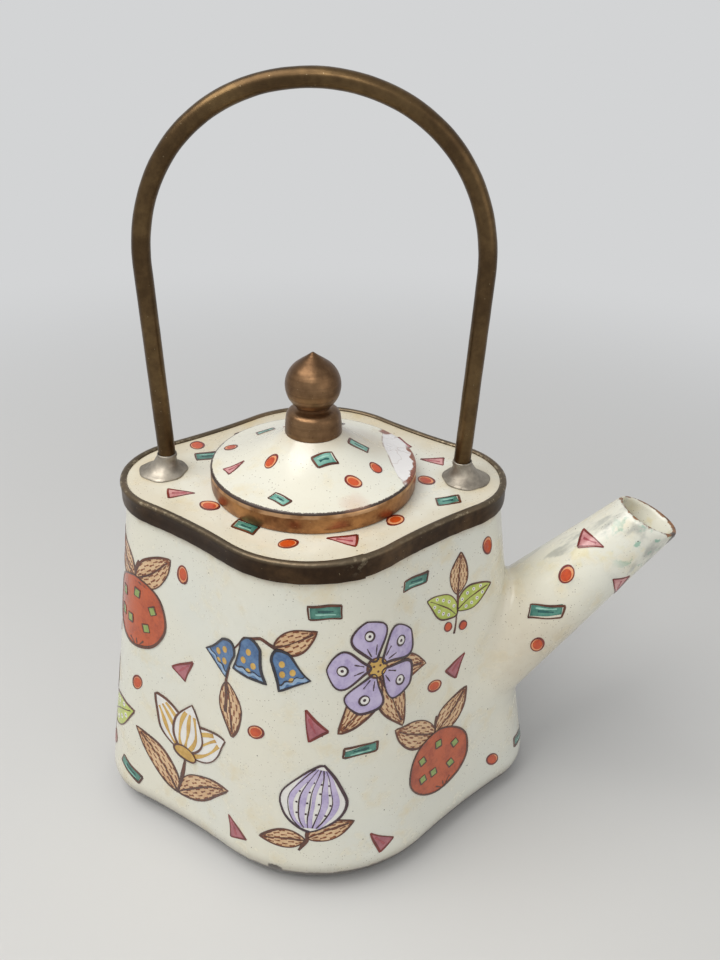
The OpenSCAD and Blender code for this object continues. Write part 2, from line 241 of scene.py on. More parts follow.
def tint(red, green, blue):
    """A colour as a screen shows it, 0 to 255, turned into the linear values that shaders use."""
    linear = []
    for value in (red, green, blue):
        share = value / 255
        linear.append(share / 12.92 if share < 0.04045 else ((share + 0.055) / 1.055) ** 2.4)
    return (*linear, 1.0)


# %% [markdown]
# ## Building a finish
# `Finish` is a material, or the world, while its nodes are put together. Its `add` makes any node from its
# type, its settings and its inputs. The other methods are the few patterns that this pot needs. They read
# Object coordinates in millimetres, so a pattern keeps its scale and its place on every piece.

# %% Building a finish


class Finish:
    """The nodes of a material, or of the world, while they are put together."""

    def __init__(self, name, family="materials"):
        self.owner = getattr(bpy.data, family).new(name)
        self.owner.use_nodes = True
        self.tree = self.owner.node_tree
        self.tree.nodes.clear()

    def add(self, kind, settings=None, inputs=None, output=0):
        """Adds a node of any kind, sets it, feeds it and returns one of its outputs."""
        node = self.tree.nodes.new(kind)
        for key, value in (settings or {}).items():
            setattr(node, key, value)
        for key, value in (inputs or {}).items():
            if isinstance(value, Wire):
                self.tree.links.new(value.socket, node.inputs[key])
            else:
                node.inputs[key].default_value = value
        return Wire(self, node.outputs[output]) if node.outputs else None

    @cached_property
    def here(self):
        """The place on the piece, in millimetres."""
        place = self.add("ShaderNodeTexCoord", output="Object")
        return self.add("ShaderNodeVectorMath", {"operation": "SCALE"}, {0: place, "Scale": 1 / MM})

    def axis(self, name):
        """One coordinate of the place, in millimetres."""
        return self.add("ShaderNodeSeparateXYZ", None, {0: self.here}, name)

    def noise(self, per_mm, detail=3.0, rough=0.55, where=None):
        """Soft noise from 0 to 1 with so many waves in a millimetre."""
        inputs = {"Vector": where or self.here, "Scale": per_mm, "Detail": detail, "Roughness": rough}
        return self.add("ShaderNodeTexNoise", None, inputs)

    def specks(self, per_mm, share, size):
        """Round specks: a share of the cells of a Voronoi pattern holds a dot of a size."""
        inputs = {"Vector": self.here, "Scale": per_mm}
        distance = self.add("ShaderNodeTexVoronoi", None, inputs, "Distance")
        chance = self.add("ShaderNodeTexVoronoi", None, inputs, "Color")
        picked = self.add("ShaderNodeSeparateColor", None, {0: chance}) < share
        return (1 - distance.between(size * 0.6, size)) * picked

    def moved(self, offset, stretch=(1, 1, 1)):
        """The place, shifted and stretched."""
        inputs = {"Vector": self.here, "Location": offset, "Scale": stretch}
        return self.add("ShaderNodeMapping", None, inputs)

    def distance_to(self, point):
        """Distance from a point, in millimetres."""
        ends = {0: self.here, 1: point}
        return self.add("ShaderNodeVectorMath", {"operation": "DISTANCE"}, ends, "Value")

    def seen_by(self, *rays):
        """1 for rays of the named kinds, 0 for all others."""
        first, *others = [self.add("ShaderNodeLightPath", output=ray) for ray in rays]
        return sum(others, first).between(0, 1)

    def mix(self, share, one, other):
        """Blends two colours."""
        return self.add("ShaderNodeMix", {"data_type": "RGBA"}, {0: share, 6: one, 7: other}, 2)

    def bump(self, height, strength, depth):
        """A bump of a depth in millimetres."""
        inputs = {"Height": height, "Strength": strength, "Distance": depth * MM}
        return self.add("ShaderNodeBump", None, inputs)

    def surface(self, colour, roughness, normal, **fixed):
        """Ends the material in one Principled shader; the fixed values are set on its own sockets."""
        inputs = {"Base Color": colour, "Roughness": roughness, "Normal": normal}
        for key, value in fixed.items():
            inputs[key.replace("_", " ")] = value
        shader = self.add("ShaderNodeBsdfPrincipled", None, inputs)
        self.add("ShaderNodeOutputMaterial", None, {0: shader})
        return self.owner


def dress(piece, material):
    """Gives a piece one material."""
    piece.data.materials.clear()
    piece.data.materials.append(material)


# %% [markdown]
# ## Ivory enamel
# Enamel is glass fused to copper. It is glossy, never quite even, and here it has aged: the ivory
# wanders between warm and cool, fine dark specks from the kiln sit in it, and tea-coloured stains
# gather near seams. The same tea colour also paints shade into creases and onto sides turned from the
# light. `ivory` gives the colour and `glossy` the gloss of every enamelled piece, and each piece adds
# its own stains and painted shade in between.

# %% Enamel
# one warm tone for real stains and for painted shade in creases and on sides turned from the light
STAIN_AND_SHADE = tint(172, 136, 84)
SPOUT_ROOT = (31.0, 0, 29)


def ivory(finish):
    """The colour of the aged ivory enamel, with its kiln specks, and a mask of where it is dull."""
    drift = finish.noise(0.045, 2.0).between(0.35, 0.7)
    colour = finish.mix(drift, tint(233, 230, 213), tint(228, 229, 218))
    cloud = finish.noise(0.22, 4.0, 0.6).between(0.50, 0.78)
    colour = finish.mix(cloud * 0.55, colour, tint(225, 209, 167))
    dust = finish.noise(3.0, 3.0, 0.7).between(0.60, 0.80)
    colour = finish.mix(dust * 0.16, colour, tint(150, 132, 100))
    crowd = finish.noise(0.16, 2.0).between(0.35, 0.62)
    fine = finish.specks(2.6, 0.42, 0.21) * crowd
    large = finish.specks(0.7, 0.14, 0.10)
    colour = finish.mix(fine * 0.75, colour, tint(104, 80, 52))
    return finish.mix(large * 0.85, colour, tint(52, 40, 30)), cloud


def glossy(finish, colour, dull, relief=0.0):
    """Ends an enamel: a soft gloss over a skin that ripples slightly."""
    peel = finish.noise(2.0, 2.0)
    ripple = finish.noise(0.3, 2.0) + peel * 0.10
    normal = finish.bump(ripple + relief, 0.6, 0.10)
    roughness = 0.22 + dull * 0.12 + peel * 0.06
    return finish.surface(colour, roughness, normal, IOR=1.52, Coat_Weight=0.2, Coat_Roughness=0.1)


def root_stain_and_shade(finish):
    """Tea stain and painted shade in the crease round the root of the spout."""
    near = 1 - finish.distance_to(SPOUT_ROOT).between(7, 12.5)
    return near * (0.1 + finish.noise(0.5, 4.0) * 0.25)


# %% [markdown]
# ## The plan of the pot
# Seen from above, the pot is a lozenge with rounded corners and hollow sides. Three arcs make a quarter
# of it and mirroring gives the rest. Between the shoulder and the foot the plan grows, turns a little
# and shifts a little, as it does on a body that was raised by hand. These are the sizes of the CAD
# model: for each plan its reach along and across the spout, its two corner radii and the radius of the
# hollow sides.

# %% Plan of the pot
SHOULDER = np.array([25.7, 21.5, 9.9, 14.1, 82.0])
FOOT = np.array([33.0, 24.3, 9.3, 21.5, 122.0])
FOOT_TURN = math.radians(3.9)
FOOT_SHIFT = 0.65
POT_HEIGHT = 54.45
PLATE_UNDER = 53.55
BAND_LOW = 51.85
FOOT_ROLL = 4.9
FOOT_RING = 2.7
BELL = 1.1
STEPS = (30, 22, 22)
QUARTER = sum(STEPS)


def quarter_plan(sizes, inset):
    """A quarter of the plan, from the spout corner to the back corner."""
    reach_x, reach_y, corner_x, corner_y, hollow = sizes
    dx = reach_x - corner_x
    dy = reach_y - corner_y
    span = math.hypot(dx, dy)
    along = ((corner_x + hollow) ** 2 - (corner_y + hollow) ** 2 + span ** 2) / (2 * span)
    high = math.sqrt((corner_x + hollow) ** 2 - along ** 2)
    side_x = dx - dx / span * along + dy / span * high
    side_y = dy / span * along + dx / span * high
    turn_x = math.atan2(side_y, side_x - dx)
    turn_y = math.atan2(side_y - dy, side_x)
    a = np.linspace(0, turn_x, STEPS[0], endpoint=False)
    b = math.pi + np.linspace(turn_x, turn_y, STEPS[1], endpoint=False)
    c = np.linspace(turn_y, math.pi / 2, STEPS[2] + 1)
    spout_corner = np.stack([dx + (corner_x - inset) * np.cos(a), (corner_x - inset) * np.sin(a)], 1)
    side = np.stack([side_x + (hollow + inset) * np.cos(b), side_y + (hollow + inset) * np.sin(b)], 1)
    back_corner = np.stack([(corner_y - inset) * np.cos(c), dy + (corner_y - inset) * np.sin(c)], 1)
    return np.concatenate([spout_corner, side, back_corner])


def plan(sizes, inset):
    """The whole plan as a closed ring that starts and ends at the back corner."""
    quarter = quarter_plan(sizes, inset)
    left_back = quarter[QUARTER:0:-1] * [-1, 1]
    left_front = -quarter[:QUARTER]
    right_front = quarter[QUARTER:0:-1] * [1, -1]
    right_back = quarter[:QUARTER]
    return np.concatenate([left_back, left_front, right_front, right_back, left_back[:1]])


def foot_share(height):
    """1 at the rolled foot, 0 from the band up."""
    return min(1.0, max(0.0, (BAND_LOW - height) / (BAND_LOW - FOOT_ROLL))) ** BELL


def body_ring(height, inset):
    """The body's plan at a height, drawn in by an inset, as points in space."""
    share = foot_share(height)
    turn = FOOT_TURN * share
    flat = plan(SHOULDER + (FOOT - SHOULDER) * share, inset)
    x = flat[:, 0] * math.cos(turn) - flat[:, 1] * math.sin(turn) + FOOT_SHIFT * share
    y = flat[:, 0] * math.sin(turn) + flat[:, 1] * math.cos(turn)
    return np.stack([x, y, np.full(len(x), height)], 1)


def roll_inset(height):
    """How far the rolled foot is drawn in at a height."""
    down = max(0.0, FOOT_ROLL - height)
    return FOOT_ROLL - math.sqrt(max(0.0, FOOT_ROLL ** 2 - down ** 2))


print("ring of", len(plan(SHOULDER, 0)), "points, first", plan(SHOULDER, 0)[0].round(2))

# %% [markdown]
# ## The wall
# The wall is one sheet: it starts at the resting ring under the pot, rolls up round the foot and climbs
# to the top plate. The grid's rows are the plan at rising heights. A Solidify modifier then gives the
# sheet its thickness towards the inside. The hole for the spout is cut later, once the spout has found
# its place on the wall.

# %% Wall
WALL_SHEET = 1.0
wall_rows = [body_ring(0, FOOT_ROLL + FOOT_RING), body_ring(0, FOOT_ROLL + FOOT_RING / 2)]
for angle in np.radians(np.linspace(0, 90, 15))[:-1]:
    wall_rows.append(body_ring(FOOT_ROLL * (1 - math.cos(angle)), FOOT_ROLL * (1 - math.sin(angle))))
for height in np.append(np.linspace(FOOT_ROLL, BAND_LOW, 42), PLATE_UNDER):
    wall_rows.append(body_ring(height, 0))
wall = rolled("pot_wall", wall_rows)
apply_modifier(wall, "SOLIDIFY", thickness=WALL_SHEET * MM, offset=-1, use_even_offset=True)
put_on(wall, "pot", "enamel", "body_wall")

# %% [markdown]
# ## The wall's finish
# The enamel is darker in a thin line under the band. Round the spout's root a tea stain and painted shade
# of the crease gather. Towards the foot a painted shade darkens the enamel softly, and at the foot the
# enamel ends in dark bare copper that carries painted shade too, with one small chip near the front. All of
# these are masks of height or of distance from a point, and noise makes their borders ragged.

# %% Finish of the wall
FOOT_CHIP = (-5.3, -23.6, 3.4)


def wall_enamel():
    """The wall's enamel, darker under the band, with stain and painted shade at the spout's root and over a
    bare, chipped foot.
    """
    finish = Finish("wall_enamel")
    colour, cloud = ivory(finish)
    height = finish.axis("Z")
    under_band = (height + finish.noise(0.5, 4.0) * 1.8).between(BAND_LOW - 0.45, BAND_LOW + 1.35) * 0.5
    # a thin darker line under the band, and tea stain with painted shade in the crease round the spout's
    # root
    colour = finish.mix(under_band + root_stain_and_shade(finish), colour, STAIN_AND_SHADE)
    ragged = finish.noise(0.8, 4.0)
    foot = height + ragged * 0.8
    # painted shade: the enamel darkens softly towards the foot, where shade and the dark floor's reflection
    # fall
    colour = finish.mix((1 - foot.between(3.4, 6.4)) * 0.5, colour, tint(120, 100, 72))
    chip = 1 - (finish.distance_to(FOOT_CHIP) + ragged * 1.2).between(1.5, 2.0)
    # the dark edge of the foot is bare copper and painted shade together
    bare = 1 - foot.between(3.6, 4.3) * (1 - chip)
    return glossy(finish, finish.mix(bare, colour, tint(62, 50, 39)), cloud)


dress(wall, wall_enamel())
print("wall_enamel has", len(wall.active_material.node_tree.nodes), "nodes")

# %% [markdown]
# ## The spout
# The spout is a tapered tube whose joint to the wall disappears under the enamel. Each column of its
# grid runs along one straight line of the cone until it meets the wall, which a ray cast finds. There
# the last rings swing out in a soft fillet that lies down on the wall. The first rings close the tube
# underneath, on the wall, and run up through the bore to the mouth, which is cut slanting and has a
# thin, rounded lip.

# %% Spout
SPOUT_MOUTH = Vector((47.2, 0, 48.4))
SPOUT_SLOPE = math.radians(47)
MOUTH_SLOPE = math.radians(64)
SPOUT_MOUTH_R = 4.4
SPOUT_ROOT_R = 7.25
SPOUT_LENGTH = 25.6
SPOUT_WALL = 0.8
SPOUT_SIDES = 96
SPOUT_TAPER = (SPOUT_ROOT_R - SPOUT_MOUTH_R) / SPOUT_LENGTH
FILLET = 2.1
FILLET_SINK = 0.02
UNDERSIDE_SINK = 0.25
LIP_END = 9.0
SLANT_END = 12.0
LIP_SECTION = [(9.0, 0.8), (3.0, 0.8), (0.7, 0.72), (0.22, 0.6), (0.02, 0.42), (0.0, 0.28), (0.1, 0.12),
               (0.35, 0.0), (1.0, 0.0), (2.0, 0.0), (3.5, 0.0), (5.0, 0.0), (7.0, 0.0), (9.0, 0.0)]
spout_turn = Matrix.Rotation(math.radians(270) - SPOUT_SLOPE, 4, "Y")
RAY_FROM = 6
RAY_TO = 60
wall_seen = wall.evaluated_get(bpy.context.evaluated_depsgraph_get())


def spout_local(radius, angle, along):
    """A point of the spout from its distance off the axis, its angle and its distance from the mouth."""
    return spout_turn @ Vector((radius * math.cos(angle), radius * math.sin(angle), along)) + SPOUT_MOUTH


def spout_point(angle, along, out=0.0):
    """A point on the spout's outside, or moved out from there by a distance."""
    return spout_local(SPOUT_MOUTH_R + SPOUT_TAPER * along + out, angle, along)


def run_to_wall(angle, out):
    """Distance from the mouth to the wall along a line of the cone, moved out by a distance."""
    start = spout_point(angle, RAY_FROM, out)
    way = (spout_point(angle, RAY_TO, out) - start).normalized()
    hit, place, _, _ = wall_seen.ray_cast(start * MM, way)
    assert hit
    return (spout_turn.inverted() @ (place / MM - SPOUT_MOUTH)).z


def spout_column(angle):
    """A column of the grid: underside, bore, lip, outside and fillet."""
    slant = math.tan(MOUTH_SLOPE - SPOUT_SLOPE) * SPOUT_MOUTH_R * math.cos(angle)
    lip_end = LIP_END + slant * (1 - LIP_END / SLANT_END)
    bore_end = run_to_wall(angle, -SPOUT_WALL)
    fillet_start = run_to_wall(angle, 0.0) - FILLET
    column = [spout_point(angle, run_to_wall(angle, FILLET) - FILLET_SINK, FILLET)]
    for out in np.linspace(FILLET, -SPOUT_WALL, 6)[1:]:
        column.append(spout_point(angle, run_to_wall(angle, out) + UNDERSIDE_SINK, out))
    for share in np.linspace(0, 1, 8)[1:-1]:
        column.append(spout_point(angle, bore_end * (1 - share) + lip_end * share, -SPOUT_WALL))
    for along, inside in LIP_SECTION:
        column.append(spout_point(angle, along + slant * (1 - along / SLANT_END), -inside))
    for share in np.linspace(0, 1, 14)[1:-1]:
        column.append(spout_point(angle, lip_end + (fillet_start - lip_end) * share))
    for turn in np.radians(np.linspace(0, 90, 9)):
        out = FILLET * (1 - math.cos(turn))
        lift = FILLET * (1 - math.sin(turn))
        column.append(spout_point(angle, run_to_wall(angle, out) - lift - FILLET_SINK, out))
    return column


spout_columns = [spout_column(angle) for angle in np.linspace(0, 2 * math.pi, SPOUT_SIDES + 1)]
spout = rolled("spout_tube", np.array(spout_columns).transpose(1, 0, 2))
smooth(spout, 60)
put_on(spout, "pot", "enamel", "spout")

# %% [markdown]
# ## The spout's finish
# The spout has had the hardest life. Behind the mouth the enamel is scuffed grey, yellow and green, and
# the lip is worn through to brown copper, with one deeper nick. The worn lip is a mask of the distance
# from the plane that cuts the mouth, so it follows the slanting edge all round.

# %% Finish of the spout
SCUFFED = (45.5, -3.5, 46.5)
LIP_NICK = (49.6, -2.6, 46.6)


def spout_enamel():
    """Enamel with grey and green scuffs behind the mouth, worn through to brown copper at the lip."""
    finish = Finish("spout_enamel")
    colour, cloud = ivory(finish)
    ragged = finish.noise(0.9, 4.0, 0.6)
    # tea stain and painted shade in the crease round the spout's root
    colour = finish.mix(root_stain_and_shade(finish), colour, STAIN_AND_SHADE)
    upper = finish.axis("Z").between(38, 44)
    yellowed = finish.noise(0.35, 3.0, 0.5, finish.moved((2, 5, 9))).between(0.54, 0.70)
    colour = finish.mix(yellowed * upper * 0.4, colour, tint(222, 206, 138))
    smear = finish.noise(0.34, 4.0, 0.55, finish.moved((0, 0, 0), (0.55, 1.3, 0.55))).between(0.53, 0.68)
    colour = finish.mix(smear * upper * 0.6, colour, tint(146, 150, 146))
    green = finish.noise(0.62, 3.0, 0.5, finish.moved((7, 3, 1))).between(0.55, 0.65)
    near_mouth = 1 - finish.distance_to(SCUFFED).between(2.5, 6)
    colour = finish.mix(green * near_mouth * 0.7, colour, tint(112, 172, 150))
    cut = (math.cos(MOUTH_SLOPE), 0, math.sin(MOUTH_SLOPE))
    above_cut = finish.add("ShaderNodeVectorMath", {"operation": "DOT_PRODUCT"},
                           {0: finish.moved(-SPOUT_MOUTH), 1: cut}, "Value")
    worn = (above_cut + ragged * 0.9).between(0.28, 0.42)
    nick = 1 - (finish.distance_to(LIP_NICK) + ragged * 0.8).between(1.1, 1.7)
    copper = finish.mix(ragged.between(0.4, 0.6), tint(84, 52, 32), tint(140, 98, 62))
    colour = finish.mix(worn, colour, copper)
    colour = finish.mix(nick, colour, tint(56, 36, 24))
    return glossy(finish, colour, cloud + worn * 2, (worn + nick) * -0.5)


dress(spout, spout_enamel())
print("spout_enamel has", len(spout.active_material.node_tree.nodes), "nodes")

# %% [markdown]
# ## The hole for the spout
# Tea has to get from the pot into the spout. A cone as wide as the spout's bore is added on the spout's
# axis and a Boolean modifier takes it out of the wall.

# %% Hole for the spout
bore_from, bore_to = 13.0, 38.0
bore_radius = [SPOUT_MOUTH_R + SPOUT_TAPER * at - SPOUT_WALL for at in (bore_from, bore_to)]
bore_middle = spout_turn @ Vector((0, 0, (bore_from + bore_to) / 2)) + SPOUT_MOUTH
bpy.ops.object.select_all(action="DESELECT")
bpy.ops.mesh.primitive_cone_add(
    vertices=64, radius1=bore_radius[0] * MM, radius2=bore_radius[1] * MM, depth=(bore_to - bore_from) * MM,
    location=bore_middle * MM, rotation=spout_turn.to_euler())
bore = bpy.context.object
apply_modifier(wall, "BOOLEAN", object=bore, operation="DIFFERENCE", solver="EXACT")
bpy.data.objects.remove(bore)
smooth(wall, 50)
print("wall with its hole:", len(wall.data.polygons), "faces")

# %% [markdown]
# ## Patinated metals
# Brass and copper that nobody polishes turn brown. The patina is thick in hollows and rubbed thin on
# edges, where the yellow metal glints through. Each metal below mixes a dark and a bright tone by
# noise, and lets the roughness follow the same mask, so that rubbed places also shine more.

# %% Metals


def aged_metal(name, tones, roughness, rub, lines=0.0, metal=0.9, grit=1.0, worn=None, wear_and_highlight_tone=None):
    """A pitted metal of dark to bright tones, with optional turning lines, grit, and worn places and
    painted highlights.
    """
    dark, middle, bright = tones
    finish = Finish(name)
    broad = finish.noise(0.09, 3.0, 0.5)
    small = finish.noise(0.9, 4.0, 0.65)
    rubbed = (broad * 0.75 + small * 0.25).between(rub - 0.16, rub + 0.16)
    colour = finish.mix((broad * 0.5 + small * 0.5).between(0.3, 0.7), dark, middle)
    colour = finish.mix(rubbed * 0.7, colour, bright)
    pits = finish.specks(1.6, 0.18, 0.16)
    colour = finish.mix(pits * 0.45, colour, dark)
    glints = finish.specks(2.2, 0.12, 0.14)
    colour = finish.mix(glints * 0.5, colour, tint(190, 172, 140))
    if worn:
        colour = finish.mix(worn(finish), colour, wear_and_highlight_tone)
    rough = roughness + 0.10 * (1 - rubbed) + pits * 0.15
    height = small * 0.35 - pits * 0.5
    if lines:
        rings = finish.noise(3.4, 2.0, 0.5, finish.moved((0, 0, 0), (0.02, 0.02, 1)))
        colour = finish.mix(rings.between(0.4, 0.7) * 0.35, colour, dark)
        height = height + rings * lines
    normal = finish.bump(height, 0.5, 0.05 * grit)
    return finish.surface(colour, rough, normal, Metallic=metal)


rod_brass = aged_metal(
    "rod_brass", (tint(73, 56, 36), tint(89, 69, 45), tint(123, 100, 66)), 0.24, 0.58)
knob_brass = aged_metal(
    "knob_brass", (tint(91, 67, 46), tint(118, 89, 62), tint(151, 119, 86)), 0.29, 0.55, lines=1.6)
inner_copper = aged_metal(
    "inner_copper", (tint(112, 72, 48), tint(150, 100, 68), tint(190, 134, 94)), 0.38, 0.55)
grey_solder = aged_metal(
    "grey_solder", (tint(116, 109, 99), tint(152, 144, 131), tint(183, 175, 161)), 0.42, 0.5,
    metal=0.75, grit=3.0)
nut_brass = aged_metal(
    "nut_brass", (tint(110, 88, 54), tint(150, 122, 78), tint(190, 160, 108)), 0.34, 0.5)
print("metals:", [metal.name for metal in (rod_brass, knob_brass, inner_copper, grey_solder, nut_brass)])

# %% [markdown]
# ## The shoulder band
# A strip of brass is bent round the shoulder and its upper edge is rolled over the rim of the top
# plate. Near the front its two ends meet, and the left one stands a little proud of the other. The
# grid's rows are the section of the strip, as heights and distances out from the shoulder. Its columns
# follow the plan, a little unevenly, because the strip was dressed down by hand.

# %% Shoulder band
BAND_SECTION = [
    (-2.60, 0.06), (-2.60, 0.34), (-2.52, 0.46), (-2.20, 0.50), (-1.40, 0.49), (-0.70, 0.49), (-0.36, 0.53),
    (-0.08, 0.57), (0.14, 0.53), (0.29, 0.38), (0.35, 0.16), (0.34, -0.08), (0.26, -0.26), (0.12, -0.35),
    (0.01, -0.36), (0.01, 0.06), (-2.60, 0.06)]
BAND_DEPTH = 2.6
SEAM_AT = 6.75
SEAM_GAP = 0.03
SEAM_STEP = 0.17
SEAM_RUN = 5
BAND_COLUMNS = 420
shoulder_steps = np.linalg.norm(np.diff(plan(SHOULDER, 0), axis=0), axis=1)
shoulder_along = np.concatenate([[0], np.cumsum(shoulder_steps)])
round_length = shoulder_along[-1]
seam_at = shoulder_along[2 * QUARTER] + SEAM_AT
band_at = seam_at + np.linspace(SEAM_GAP, round_length - SEAM_GAP, BAND_COLUMNS)


def slow_wave(waves, seed):
    """A gentle wave round the band, the same at both ends."""
    draw = np.random.default_rng(seed)
    total = np.zeros(len(band_at))
    for number in waves:
        turns = band_at / round_length * number + draw.random()
        total += np.sin(2 * math.pi * turns) * draw.uniform(0.5, 1)
    return total / len(waves)


def shoulder_line(at, out):
    """Points of the shoulder's plan at distances along it, moved outwards."""
    ring = plan(SHOULDER, -out)
    at = np.mod(at, round_length)
    return np.stack([np.interp(at, shoulder_along, ring[:, k]) for k in (0, 1)], 1)


low_edge = slow_wave((5, 9, 14, 37, 61), 3) * 0.14
swell = slow_wave((3, 7, 12, 23), 4) * 0.05
overlap = SEAM_STEP * np.exp((band_at - band_at[-1]) / SEAM_RUN)
band_rows = []
for rise, out in BAND_SECTION:
    flat = shoulder_line(band_at, out)
    outward = (shoulder_line(band_at, out + 0.1) - flat) / 0.1
    flat = flat + outward * ((swell + overlap) * (out > 0.2))[:, None]
    lift = low_edge * max(0.0, -rise / BAND_DEPTH) ** 3 + overlap * (0.5 + 0.35 * rise)
    band_rows.append(np.column_stack([flat, POT_HEIGHT + rise + lift]))
band = rolled("shoulder_strip", band_rows)
edit(band, fill_holes, merge_and_face_out)
smooth(band, 45)
put_on(band, "pot", "dark_brass", "shoulder_band")

# %% [markdown]
# ## The band's finish
# A painted highlight lightens the upper edge of the band, where light from above falls on it. Handling
# scratches the lip most at the two side corners, and a pale patch lies at the top of the seam. These are
# three masks by height, by distance to the side and by distance from the seam. The metal function mixes
# them in as its worn places and painted highlights.

# %% Finish of the band
seam_place = (*shoulder_line(np.array([seam_at - 0.8]), 0.5)[0], POT_HEIGHT - 0.1)


def lit_and_worn_lip(finish):
    """Where the band gets a painted highlight on its upper edge, where it is scratched, and a pale patch at
    the seam.
    """
    height = finish.axis("Z")
    # painted highlight: the band's upper edge is made lighter, where light from above falls on it
    rubbed = height.between(POT_HEIGHT - 0.3, POT_HEIGHT + 0.25)
    lip = height.between(POT_HEIGHT - 0.05, POT_HEIGHT + 0.1)
    lip = lip * (1 - height.between(POT_HEIGHT + 0.3, POT_HEIGHT + 0.36))
    scratch = finish.noise(1.2, 4.0, 0.7).between(0.50, 0.64)
    at_sides = 0.12 + abs(finish.axis("X")).between(12, 23) * 0.5
    # a pale patch at the top of the seam
    solder = (1 - finish.distance_to(seam_place).between(0.4, 2.4)) * scratch
    return rubbed * 0.22 + lip * scratch * at_sides + solder * 0.3


band_brass = aged_metal(
    "band_brass", (tint(50, 37, 26), tint(68, 51, 36), tint(112, 86, 58)), 0.32, 0.60,
    worn=lit_and_worn_lip, wear_and_highlight_tone=tint(172, 158, 132))
dress(band, band_brass)
print("seam of the band at", [round(float(v), 1) for v in seam_place])

# %% [markdown]
# ## The line of the handle
# One brass rod makes the handle: two legs that lean out a little and an arch that joins them without a
# kink. The arch is a half circle that was bent a little squarish, so it is drawn in at its top and at
# its sides. The whole handle stands in a plane of its own, which is turned slightly on the pot.

# %% Line of the handle
LEG_X = 19.9
ROD = 1.15
HANDLE_TOP = 105.75
HANDLE_TURN = math.radians(-1.9)
LEG_LEAN = math.radians(2.6)
LEG_END = PLATE_UNDER - 0.4
ARCH_SHIFT = 0.2
ARCH_SQUARE = 0.27
arch_rise = HANDLE_TOP - ROD - POT_HEIGHT
ARCH_R = (LEG_X * math.cos(LEG_LEAN) + arch_rise * math.sin(LEG_LEAN)) / (1 + math.sin(LEG_LEAN))
ARCH_Z = HANDLE_TOP - ROD - ARCH_R


def by_handle(x, z, y=0.0):
    """A point given from the handle's plane, which is turned a little on the pot."""
    cosine, sine = math.cos(HANDLE_TURN), math.sin(HANDLE_TURN)
    return (x * cosine - y * sine, x * sine + y * cosine, z)


def leg_lean(side):
    """Lean of a leg, so that it just touches the arch."""
    reach = LEG_X - side * ARCH_SHIFT
    rise = ARCH_Z - POT_HEIGHT
    return math.atan2(rise, reach) - math.acos(ARCH_R / math.hypot(reach, rise))


def leg_points(side):
    """The middle line of a leg from its end under the plate up to the arch."""
    lean = leg_lean(side)
    low_x = side * (LEG_X + (LEG_END - POT_HEIGHT) * math.tan(lean))
    touch_x = ARCH_SHIFT + side * (ARCH_R * math.cos(lean) - ARCH_SQUARE)
    touch_z = ARCH_Z - ARCH_R * math.sin(lean)
    return [by_handle(low_x + (touch_x - low_x) * t, LEG_END + (touch_z - LEG_END) * t)
            for t in np.linspace(0, 1, 26)]


arch_points = []
for turn in np.linspace(math.pi + leg_lean(-1), -leg_lean(1), 110)[1:-1]:
    radius = ARCH_R - ARCH_SQUARE * math.cos(2 * turn) ** 2
    arch_points.append(by_handle(ARCH_SHIFT + radius * math.cos(turn), ARCH_Z + radius * math.sin(turn)))
rod_points = leg_points(-1) + arch_points + leg_points(1)[::-1]
print("handle's line has", len(rod_points), "points, arch radius", round(ARCH_R, 2))

# %% [markdown]
# ## The rod of the handle
# A curve with a round bevel is the natural way to draw a bent rod. It is then made a mesh, its ends
# under the plate are spread like rivet heads, and a faint Displace modifier takes the machine-made
# evenness away.

# %% Rod of the handle
HEAD_STEPS = ((0.12, 1.6), (0.28, 0.72))
rod_curve = bpy.data.curves.new("handle_rod", "CURVE")
rod_curve.dimensions = "3D"
rod_curve.bevel_depth = ROD * MM
rod_curve.bevel_resolution = 8
rod_curve.use_fill_caps = True
rod_line = rod_curve.splines.new("POLY")
rod_line.points.add(len(rod_points) - 1)
for point, place in zip(rod_line.points, rod_points):
    point.co = (*(v * MM for v in place), 1)
handle = bpy.data.objects.new("handle_rod", rod_curve)
scene.collection.objects.link(handle)
alone(handle)
bpy.ops.object.convert(target="MESH")
handle = bpy.context.object
edit(handle, merge_and_face_out)


def spread_head(side):
    """Extrudes the end of one leg down and spreads it like the head of a rivet."""
    edit(handle, lambda: bpy.ops.mesh.select_all(action="DESELECT"))
    for face in handle.data.polygons:
        face.select = face.normal.z < -0.9 and len(face.vertices) > 6 and face.center.x * side > 0
    bpy.ops.object.mode_set(mode="EDIT")
    middle = Vector(by_handle(side * LEG_X, LEG_END)) * MM
    for down, spread in HEAD_STEPS:
        bpy.ops.mesh.extrude_region_move(TRANSFORM_OT_translate={"value": (0, 0, -down * MM)})
        bpy.ops.transform.resize(value=(spread, spread, 1), center_override=middle)
    bpy.ops.object.mode_set(mode="OBJECT")


def lumps(name, scale):
    """A cloud texture for small unevenness, with lumps of a size in millimetres."""
    texture = bpy.data.textures.new(name, "CLOUDS")
    texture.noise_scale = scale * MM
    return {"texture": texture, "texture_coords": "LOCAL", "mid_level": 0.5}


for side in (-1, 1):
    spread_head(side)
apply_modifier(handle, "DISPLACE", strength=0.07 * MM, **lumps("hammer_marks", 2.6))
smooth(handle, 60)
dress(handle, rod_brass)
put_on(handle, "pot", "rod_brass", "handle")

# %% [markdown]
# ## The ferrules
# Each foot of the handle stands in a grey trumpet of soft solder. It is turned like a lathe piece, but
# its rings drift from the flange, which sits a little further out, to the leg, and its edge is as
# uneven as solder is.

# %% Ferrules
FLANGE_R = 3.25
FLANGE_T = 0.25
FERRULE_RISE = 2.5
FERRULE_SKEW = 0.8
FERRULE_H = 2.7
solder_lumps = lumps("solder_lumps", 1.2)


